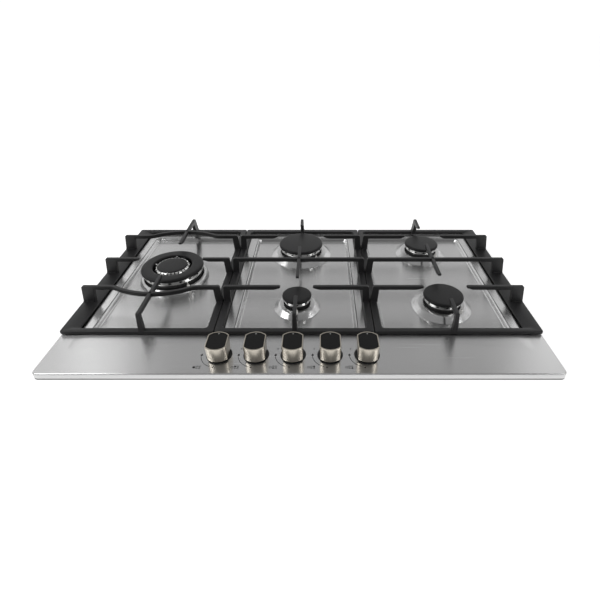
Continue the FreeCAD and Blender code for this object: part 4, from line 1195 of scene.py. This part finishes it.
            # each stroke lies a little above the last, so that no two share a plane
            level = UP * (low + 0.002 * turn)
            corners = [middle + along + across, middle - along + across,
                       middle - along - across, middle + along - across]
            piece.thicken([piece.sheet([corner + level for corner in corners])], UP * self.ink)

    def _plan(self, piece: Forming, low: float) -> None:
        """The printed plan of the burners, with this knob's burner filled.

        Args:
            piece: The print.
            low: Height of the print's underside.
        """
        middle = self.axis + Vector((*self.plan_place, 0))
        for number, (x, y, radius) in enumerate(self.plan, start=1):
            at = middle + Vector((x, y, 0))
            inside = 0.0 if number == self.number else radius - self.plan_line
            piece.revolve(at, [(inside, low), (radius, low), (radius, low + self.ink), (inside, low + self.ink)],
                          closed=inside > 0, steps=24)


# ---------------------------------------------------------------- pan supports


@dataclass(frozen=True)
class Post:
    """A post of a pan support.

    Attributes:
        lean: How far it leans inwards over its height.
        foot: Its width at the foot.
        head: Its width at the head.
    """

    lean: float
    foot: float
    head: float


OUTER_POST = Post(6.5, 22.5, 24.0)
INNER_POST = Post(3.5, 14.0, 13.0)
FRONT_POST = Post(7.0, 12.0, 10.0)
REAR_POST = Post(10.5, 18.0, 22.0)


# Radius of the edges of posts, fingers and bars.
BAR_EDGE = 0.9


class Run(Enum):
    """The way in which a bar runs, as the unit vector along it."""

    ACROSS = (1.0, 0.0, 0.0)
    TO_REAR = (0.0, 1.0, 0.0)


@dataclass
class PanSupport:
    """A cast pan support: a flat frame with posts, and fingers towards its burners.

    Attributes:
        side: left, centre or right.
        burners: Its burners, the front one first.
        left_post: Its posts on the left.
        right_post: Its posts on the right.
        left_bar: Width of the frame's left bar.
        right_bar: Width of the frame's right bar.
        rows: Y of the rows of fingers.
        front_bar: Width of the frame's front bar.
        rear_bar: Width of the frame's rear bar.
        frame_height: Height of the frame.
        width: Width of a finger.
        depth: Depth of a finger.
        tip_depth: Depth of a finger at its tip.
        tip_run: Length of the bevel under a tip.
        tip_bevel: Bevel at the head of a tip.
        tip_clear: Fingertip outside the cap.
        arc_radius: Radius of the bow round the wok burner.
        arc_bulge: Bow beyond the straight line.
        arc_blend: Blend between bow and straight bar.
        crest: Level part of a wide bar, beyond which it falls to the inside.
        shoulder: Rounding at the head of a post.
        post_width: Width of a post beyond its finger.
        post_flare: How much it widens to each side at its foot.
        boss: Height of the low boss at a post's foot, above the frame.
        boss_width: Width of the boss beyond its finger.
        boss_edge: Radius of its edges.
        corner: Corner radius of the frame in plan.
        window_corner: Corner radius of the frame's window in plan.
    """

    side: str
    burners: Sequence[Burner]
    left_post: Post
    right_post: Post
    left_bar: float
    right_bar: float
    rows: tuple[float, float, float]
    front_bar: float = 12.0
    rear_bar: float = 15.0
    frame_height: float = 6.0
    width: float = 6.5
    depth: float = 8.0
    tip_depth: float = 4.0
    tip_run: float = 12.0
    tip_bevel: float = 1.2
    tip_clear: float = 3.0
    arc_radius: float = 138.0
    arc_bulge: float = 23.0
    arc_blend: float = 30.0
    crest: float = 18.0
    shoulder: float = 2.4
    post_width: float = 0.5
    post_flare: float = 1.2
    boss: float = 1.2
    boss_width: float = 3.4
    boss_edge: float = 1.1
    corner: float = 4.0
    window_corner: float = 5.0

    def __post_init__(self) -> None:
        """Read the support's box from the frame."""
        self.node = f"pan_support_{self.side}"
        self.box = Extent.of(self.node)

    @property
    def foot(self) -> float:
        """The frame's underside."""
        return self.box.low.z

    @property
    def top(self) -> float:
        """The pan plane."""
        return self.box.high.z

    def build(self) -> None:
        """Cast the support."""
        piece = Forming(f"{self.node}_casting")
        self._frame(piece)
        front, middle, rear = self.rows
        low, high = self.box.low, self.box.high
        near, far = self.burners[0], self.burners[-1]
        column = near.centre.x
        if near is far:
            self._finger(piece, Run.ACROSS, low.x, 1, self.left_post, column - self._reach(near), middle)
            self._finger(piece, Run.ACROSS, high.x, -1, self.right_post, column + self._reach(near), middle)
            for y, way in ((front, -1), (rear, 1)):
                self._post(piece, Run.ACROSS, low.x, 1, self.left_post, y)
                self._post(piece, Run.ACROSS, high.x, -1, self.right_post, y)
                self._bow(piece, y, way, column)
        else:
            for y, burner in ((front, near), (rear, far)):
                self._finger(piece, Run.ACROSS, low.x, 1, self.left_post, column - self._reach(burner), y)
                self._finger(piece, Run.ACROSS, high.x, -1, self.right_post, column + self._reach(burner), y)
            self._bar(piece, middle)
            self._crossing(piece, column, near.centre.y + self._reach(near), far.centre.y - self._reach(far))
        self._finger(piece, Run.TO_REAR, low.y, 1, FRONT_POST, near.centre.y - self._reach(near), column)
        self._finger(piece, Run.TO_REAR, high.y, -1, REAR_POST, far.centre.y + self._reach(far), column)
        piece.paint(piece.mesh.faces, CAST_IRON)
        piece.finish(self.node, replaces=[self.node], sharp=50.0)

    def _reach(self, burner: Burner) -> float:
        """From a burner's axis to the fingertips round it."""
        return burner.cap_radius + self.tip_clear

    def _frame(self, piece: Forming) -> None:
        """The flat frame, rounded along its top."""
        low, high = self.box.low, self.box.high
        inner_low = Vector((low.x + self.left_bar, low.y + self.front_bar, 0))
        inner_high = Vector((high.x - self.right_bar, high.y - self.rear_bar, 0))

        def loop(start: Vector, end: Vector, inset: float, level: float, corner: float) -> list[BMEdge]:
            """A level rounded rectangle's rim, drawn in by an inset.

            Args:
                start: Its lowest corner before that.
                end: Its highest corner before that.
                inset: The inset.
                level: Its height.
                corner: Corner radius.

            Returns:
                The rim's edges.
            """
            half = ((end.x - start.x) / 2 - inset, (end.y - start.y) / 2 - inset)
            centre = Vector(((start.x + end.x) / 2, (start.y + end.y) / 2, level))
            return piece.open(piece.rounded(centre, half, corner, 5))

        top = self.foot + self.frame_height
        slope = Vector((1, 1, 0)) * 2.0
        crest_low = inner_low - slope - Vector((max(self.left_bar - self.crest, 0), 0, 0))
        crest_high = inner_high + slope + Vector((max(self.right_bar - self.crest, 0), 0, 0))
        loops = [
            loop(low, high, 0.0, self.foot, self.corner), loop(low, high, 0.0, top - 2.0, self.corner),
            loop(low, high, 0.6, top - 0.6, self.corner - 0.4), loop(low, high, 2.0, top, self.corner - 1.4),
            loop(crest_low, crest_high, 0.0, top, self.window_corner + 2.0),
            loop(inner_low, inner_high, 0.0, top - 3.0, self.window_corner),
            loop(inner_low, inner_high, 0.0, self.foot, self.window_corner),
        ]
        for one, other in zip(loops, [*loops[1:], loops[0]]):
            bmesh.ops.bridge_loops(piece.mesh, edges=[*one, *other])

    def _plate(self, piece: Forming, run: Run, corners: Sequence[Point], at: float, width: float,
               soft: float = BAR_EDGE, flare: float = 0.0) -> None:
        """An upright convex plate with rounded edges.

        Args:
            piece: The support.
            run: The way in which it runs.
            corners: Its outline, as places along it and heights.
            at: Its middle plane.
            width: Its thickness.
            soft: Radius of its edges.
            flare: How much it widens to each side at its foot.
        """
        along = Vector(run.value)
        across = Vector((along.y, along.x, 0))
        face = piece.sheet([along * place + across * (at - width / 2) + UP * level for place, level in corners])
        solid = piece.thicken([face], across * width)
        for vert in {vert for side in solid for vert in side.verts if vert.co.z < self.foot + WELD}:
            vert.co += across * math.copysign(flare, vert.co.dot(across) - at)
        piece.soften(solid, soft)

    def _post(self, piece: Forming, run: Run, edge: float, way: int, post: Post, at: float) -> float:
        """A post that leans in, with a round shoulder, on the frame's low boss.

        Args:
            piece: The support.
            run: The way in which its arm runs.
            edge: The post's outer edge.
            way: 1 towards plus, -1 towards minus.
            post: The post's sizes.
            at: Its middle plane.

        Returns:
            Where an arm starts, inside the post.
        """
        top, under, shoulder = self.top - 0.1, self.top - self.depth, self.shoulder
        height = top - self.foot
        inner = post.lean * (under - self.foot) / height + post.head
        self._plate(piece, run, [
            (edge, self.foot), (edge + way * post.lean * (height - shoulder) / height, top - shoulder),
            (edge + way * (post.lean + 0.3 * shoulder), top - 0.3 * shoulder),
            (edge + way * (post.lean + shoulder), top), (edge + way * inner, top), (edge + way * inner, under),
            (edge + way * post.foot, self.foot),
        ], at, self.width + self.post_width, flare=self.post_flare)
        level = self.foot + self.frame_height + self.boss
        self._plate(piece, run, [
            (edge + way * 0.2, self.foot), (edge + way * 0.6, level),
            (edge + way * (post.foot - 0.6), level), (edge + way * (post.foot - 0.2), self.foot),
        ], at, self.width + self.boss_width, self.boss_edge)
        return edge + way * (post.lean + shoulder + 1.5)

    def _finger(self, piece: Forming, run: Run, edge: float, way: int, post: Post, tip: float, at: float) -> None:
        """A post on the frame and an arm that ends in a bevelled tip.

        Args:
            piece: The support.
            run: The way in which it runs.
            edge: The post's outer edge.
            way: 1 towards plus, -1 towards minus.
            post: The post's sizes.
            tip: The fingertip.
            at: The finger's middle plane.
        """
        start, under = self._post(piece, run, edge, way, post, at), self.top - self.depth
        self._plate(piece, run, [
            (start, self.top), (tip - way * self.tip_bevel, self.top), (tip, self.top - self.tip_bevel),
            (tip, self.top - self.tip_depth), (tip - way * self.tip_run, under), (start, under),
        ], at, self.width)

    def _bar(self, piece: Forming, at: float) -> None:
        """A bar from post to post.

        Args:
            piece: The support.
            at: The bar's middle plane.
        """
        start = self._post(piece, Run.ACROSS, self.box.low.x, 1, self.left_post, at)
        end = self._post(piece, Run.ACROSS, self.box.high.x, -1, self.right_post, at)
        under = self.top - self.depth
        self._plate(piece, Run.ACROSS, [(start, self.top), (end, self.top), (end, under), (start, under)], at,
                    self.width)

    def _crossing(self, piece: Forming, at: float, near: float, far: float) -> None:
        """The arm between the two burners, with a tip towards each.

        Args:
            piece: The support.
            at: The arm's middle plane.
            near: Its front tip.
            far: Its rear tip.
        """
        under, tip, bevel = self.top - self.depth, self.top - self.tip_depth, self.tip_bevel
        self._plate(piece, Run.TO_REAR, [
            (near, self.top - bevel), (near + bevel, self.top), (far - bevel, self.top), (far, self.top - bevel),
            (far, tip), (far - self.tip_run, under), (near + self.tip_run, under), (near, tip),
        ], at, self.width)

    def _bow(self, piece: Forming, y: float, way: int, column: float) -> None:
        """A bar from left to right that bows outwards round the wok burner.

        Args:
            piece: The support.
            y: The bar's row.
            way: 1 to bow to the rear, -1 to the front.
            column: X of the burner.
        """
        start = self.box.low.x + self.left_post.lean + self.left_post.head / 2
        end = self.box.high.x - self.right_post.lean - self.right_post.head / 2
        middle = Vector((column, y + way * (self.arc_bulge - self.arc_radius), 0))
        drop = abs(middle.y - y) + self.arc_blend
        reach = self.arc_radius + self.arc_blend
        spread = math.sqrt(reach ** 2 - drop ** 2)
        bend = math.atan2(spread, drop)
        mesh, half = piece.mesh, self.width / 2
        level = self.top - self.depth
        face = piece.sheet([Vector((start, y + offset, height)) for offset, height in
                            ((-half, level), (half, level), (half, self.top), (-half, self.top))])
        made = bmesh.ops.bevel(mesh, geom=list(face.verts), offset=BAR_EDGE, offset_type="OFFSET", segments=2,
                               profile=0.5, affect="VERTICES", material=-1)
        rim = list({edge for item in made["verts"] for edge in item.link_edges})
        bmesh.ops.delete(mesh, geom=rim[0].link_faces[:], context="FACES_ONLY")

        def push(edges: list[BMEdge], along: float) -> list[BMEdge]:
            """Draw the section on in a straight line.

            Args:
                edges: The section's edges.
                along: How far to the right.

            Returns:
                The edges of the section at the end.
            """
            verts, edges = piece.extend(edges)
            bmesh.ops.translate(mesh, vec=(along, 0, 0), verts=verts)
            return edges

        def bent(edges: list[BMEdge], centre: Vector, angle: float, steps: int) -> list[BMEdge]:
            """Draw the section on round an upright axis.

            Args:
                edges: The section's edges.
                centre: A point of the axis.
                angle: The turn, in radians.
                steps: Its divisions.

            Returns:
                The edges of the section at the end.
            """
            last = bmesh.ops.spin(mesh, geom=[*edges, *{vert for edge in edges for vert in edge.verts}], cent=centre,
                                  axis=UP, angle=angle, steps=steps, use_duplicate=False)["geom_last"]
            return [item for item in last if isinstance(item, BMEdge)]

        blend_y = y + way * self.arc_blend
        rim = push(rim, column - spread - start)
        rim = bent(rim, Vector((column - spread, blend_y, 0)), way * bend, 6)
        rim = bent(rim, middle, -way * 2 * bend, 28)
        rim = bent(rim, Vector((column + spread, blend_y, 0)), way * bend, 6)
        push(rim, end - column - spread)


# ---------------------------------------------------------------- studio


@dataclass(frozen=True)
class Softbox:
    """A soft light.

    Attributes:
        name: Its name.
        place: Its middle, in metres.
        target: The point that it faces, in metres.
        size: Its width and height, in metres.
        power: Its power, in watts.
    """

    name: str
    place: tuple[float, float, float]
    target: tuple[float, float, float]
    size: Point
    power: float

    def hang(self) -> None:
        """Put the light in the scene."""
        data = bpy.data.lights.new(self.name, "AREA")
        data.shape = "RECTANGLE"
        data.size, data.size_y = self.size
        data.energy = self.power
        lamp = bpy.data.objects.new(self.name, data)
        lamp.location = self.place
        aim = Vector(self.target) - Vector(self.place)
        lamp.rotation_euler = aim.to_track_quat("-Z", "Y").to_euler()
        lamp.visible_camera = False
        bpy.context.scene.collection.objects.link(lamp)


@dataclass
class Studio:
    """The pale worktop, the soft light and the camera.

    Attributes:
        pitch: How far the camera looks down, in degrees.
        lens: Focal length, in millimetres.
        sensor: Width of the sensor, in millimetres.
        eye: The camera's place, in millimetres, its height above the panel's top.
        shift: Sideways shift of the picture, in widths.
        reach: Half the side of the worktop, in metres.
        clearance: Space round the tray in the worktop's cut-out, in millimetres.
        sky: Light of the surround by height, from the horizon to overhead.
        behind: Where the surround starts to dim behind the camera, and where it is dimmest, by Y.
        dimming: Its strength at these two.
        softboxes: The soft lights.
    """

    pitch: float = 35.56
    lens: float = 24.26
    sensor: float = 36.0
    eye: tuple[float, float, float] = (33.0, -709.6, 470.2)
    shift: float = -20 / 600
    reach: float = 12.0
    clearance: float = 4.0
    sky: tuple[Point, ...] = ((0.0, 1.0), (0.50, 0.90), (0.60, 0.50), (0.68, 0.32), (0.85, 0.34), (1.0, 0.45))
    behind: Point = (-0.1, -0.7)
    dimming: Point = (1.05, 0.35)
    softboxes: tuple[Softbox, ...] = (
        Softbox("left_window", (-1.6, -0.35, 1.8), (0.0, 0.0, 0.0), (1.0, 0.8), 14.0),
        Softbox("right_window", (1.5, -0.75, 1.35), (0.0, 0.0, 0.0), (0.45, 0.5), 5.0),
        Softbox("left_strip", (-1.92, 1.85, 1.97), (-0.33, -0.21, 0.0), (0.20, 1.1), 1.0),
        Softbox("left_thin_strip", (-1.58, 1.85, 1.97), (-0.28, -0.21, 0.0), (0.08, 1.1), 0.25),
        Softbox("right_strip", (2.05, 1.85, 1.97), (0.4, -0.21, 0.0), (0.5, 1.1), 1.3),
    )

    def build(self, tray: Extent, panel_top: float) -> None:
        """Set up the studio.

        Args:
            tray: The box of the tray, for which the worktop is cut out.
            panel_top: The panel's top.
        """
        self._camera(panel_top)
        self._worktop(tray)
        self._sky()
        for softbox in self.softboxes:
            softbox.hang()
        bpy.context.scene.view_settings.view_transform = "Standard"

    def _camera(self, panel_top: float) -> None:
        """The camera, at the photograph's angle.

        Args:
            panel_top: The panel's top.
        """
        data = bpy.data.cameras.new("camera")
        data.lens = self.lens
        data.sensor_width = self.sensor
        data.shift_x = self.shift
        camera = bpy.data.objects.new("camera", data)
        x, y, height = self.eye
        camera.location = Vector((x, y, height + panel_top)) / METRE
        camera.rotation_euler = (math.radians(90 - self.pitch), 0, 0)
        bpy.context.scene.collection.objects.link(camera)
        bpy.context.scene.camera = camera

    def _worktop(self, tray: Extent) -> None:
        """A wide pale worktop with the cut-out that the tray hangs in.

        Args:
            tray: The box of the tray.
        """
        work = Forming("worktop")
        centre = Vector((tray.middle.x, tray.middle.y, 0))
        half = ((tray.high.x - tray.low.x) / 2 + self.clearance, (tray.high.y - tray.low.y) / 2 + self.clearance)
        wide = (self.reach * METRE, self.reach * METRE)
        edge, cut_out = work.rounded(Vector((0, 0, 0)), wide, 0), work.rounded(centre, half, 0)
        work.fill(work.open(edge), work.open(cut_out))
        work.paint(work.mesh.faces, PALE_WORKTOP)
        worktop = work.as_object(sharp=30.0)
        if worktop.data.polygons[0].normal.z < 0:
            worktop.data.flip_normals()

    def _sky(self) -> None:
        """A soft surround: white near the horizon, dimmer above, and dim on the camera's side."""
        world = bpy.data.worlds.new("surround")
        bpy.context.scene.world = world
        world.use_nodes = True
        tree = world.node_tree
        background = tree.nodes["Background"]
        place = tree.nodes.new("ShaderNodeTexCoord")
        parts = tree.nodes.new("ShaderNodeSeparateXYZ")
        ramp = tree.nodes.new("ShaderNodeValToRGB")
        stops = ramp.color_ramp.elements
        stops.remove(stops[-1])
        for index, (position, level) in enumerate(self.sky):
            stop = stops.new(position) if index else stops[0]
            stop.color = (level, level, level, 1.0)
        dim = tree.nodes.new("ShaderNodeMapRange")
        dim.inputs["From Max"].default_value, dim.inputs["From Min"].default_value = self.behind
        dim.inputs["To Max"].default_value, dim.inputs["To Min"].default_value = self.dimming
        tree.links.new(place.outputs["Generated"], parts.inputs["Vector"])
        tree.links.new(parts.outputs["Z"], ramp.inputs["Fac"])
        tree.links.new(parts.outputs["Y"], dim.inputs["Value"])
        tree.links.new(ramp.outputs["Color"], background.inputs["Color"])
        tree.links.new(dim.outputs["Result"], background.inputs["Strength"])


# ---------------------------------------------------------------- the hob


def dress_kept_nodes(nodes: dict[str, bpy.types.Object]) -> None:
    """Give the CAD nodes that stay their finishes.

    Args:
        nodes: The frame's nodes.
    """
    stems = {name: ZINC for name in nodes if name.startswith("tap_stem_")}
    for name, finish in {**KEPT_NODES, **stems}.items():
        node = nodes[name]
        node.data.materials.clear()
        node.data.materials.append(finish.material())
        LOG.info("%s keeps its shape, in %s", name, finish.name)


def main() -> None:
    """Build the hob, piece by piece."""
    logging.basicConfig(level=logging.INFO, format="%(message)s")
    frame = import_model()
    panel_top = Extent.of("hob_panel").high.z
    studio = Studio()
    studio.build(Extent.of("bottom_tray"), panel_top)
    wok = WokBurner("wok", ports=18, skirt=72.0)
    rapid = Burner("rapid", ports=16, skirt=70.5)
    auxiliary = Burner("auxiliary", ports=8, skirt=45.0, bearing=-90.0)
    semi_rear = Burner("semi_rear", ports=12, skirt=57.5)
    semi_front = Burner("semi_front", ports=12, skirt=57.5)
    burners = (wok, rapid, auxiliary, semi_rear, semi_front)
    knobs = [Knob(number) for number in range(1, 6)]
    Panel(burners).build(knobs)
    for burner in burners:
        burner.build()
    for knob in knobs:
        knob.build(panel_top)
    rows = (auxiliary.centre.y, wok.centre.y, rapid.centre.y)
    wide, slim = 30.0, 14.0
    PanSupport("left", (wok,), OUTER_POST, INNER_POST, wide, slim, rows).build()
    PanSupport("centre", (auxiliary, rapid), INNER_POST, INNER_POST, slim, slim, rows).build()
    PanSupport("right", (semi_front, semi_rear), INNER_POST, OUTER_POST, slim, wide, rows).build()
    dress_kept_nodes(frame["nodes"])


if __name__ == "__main__":
    main()
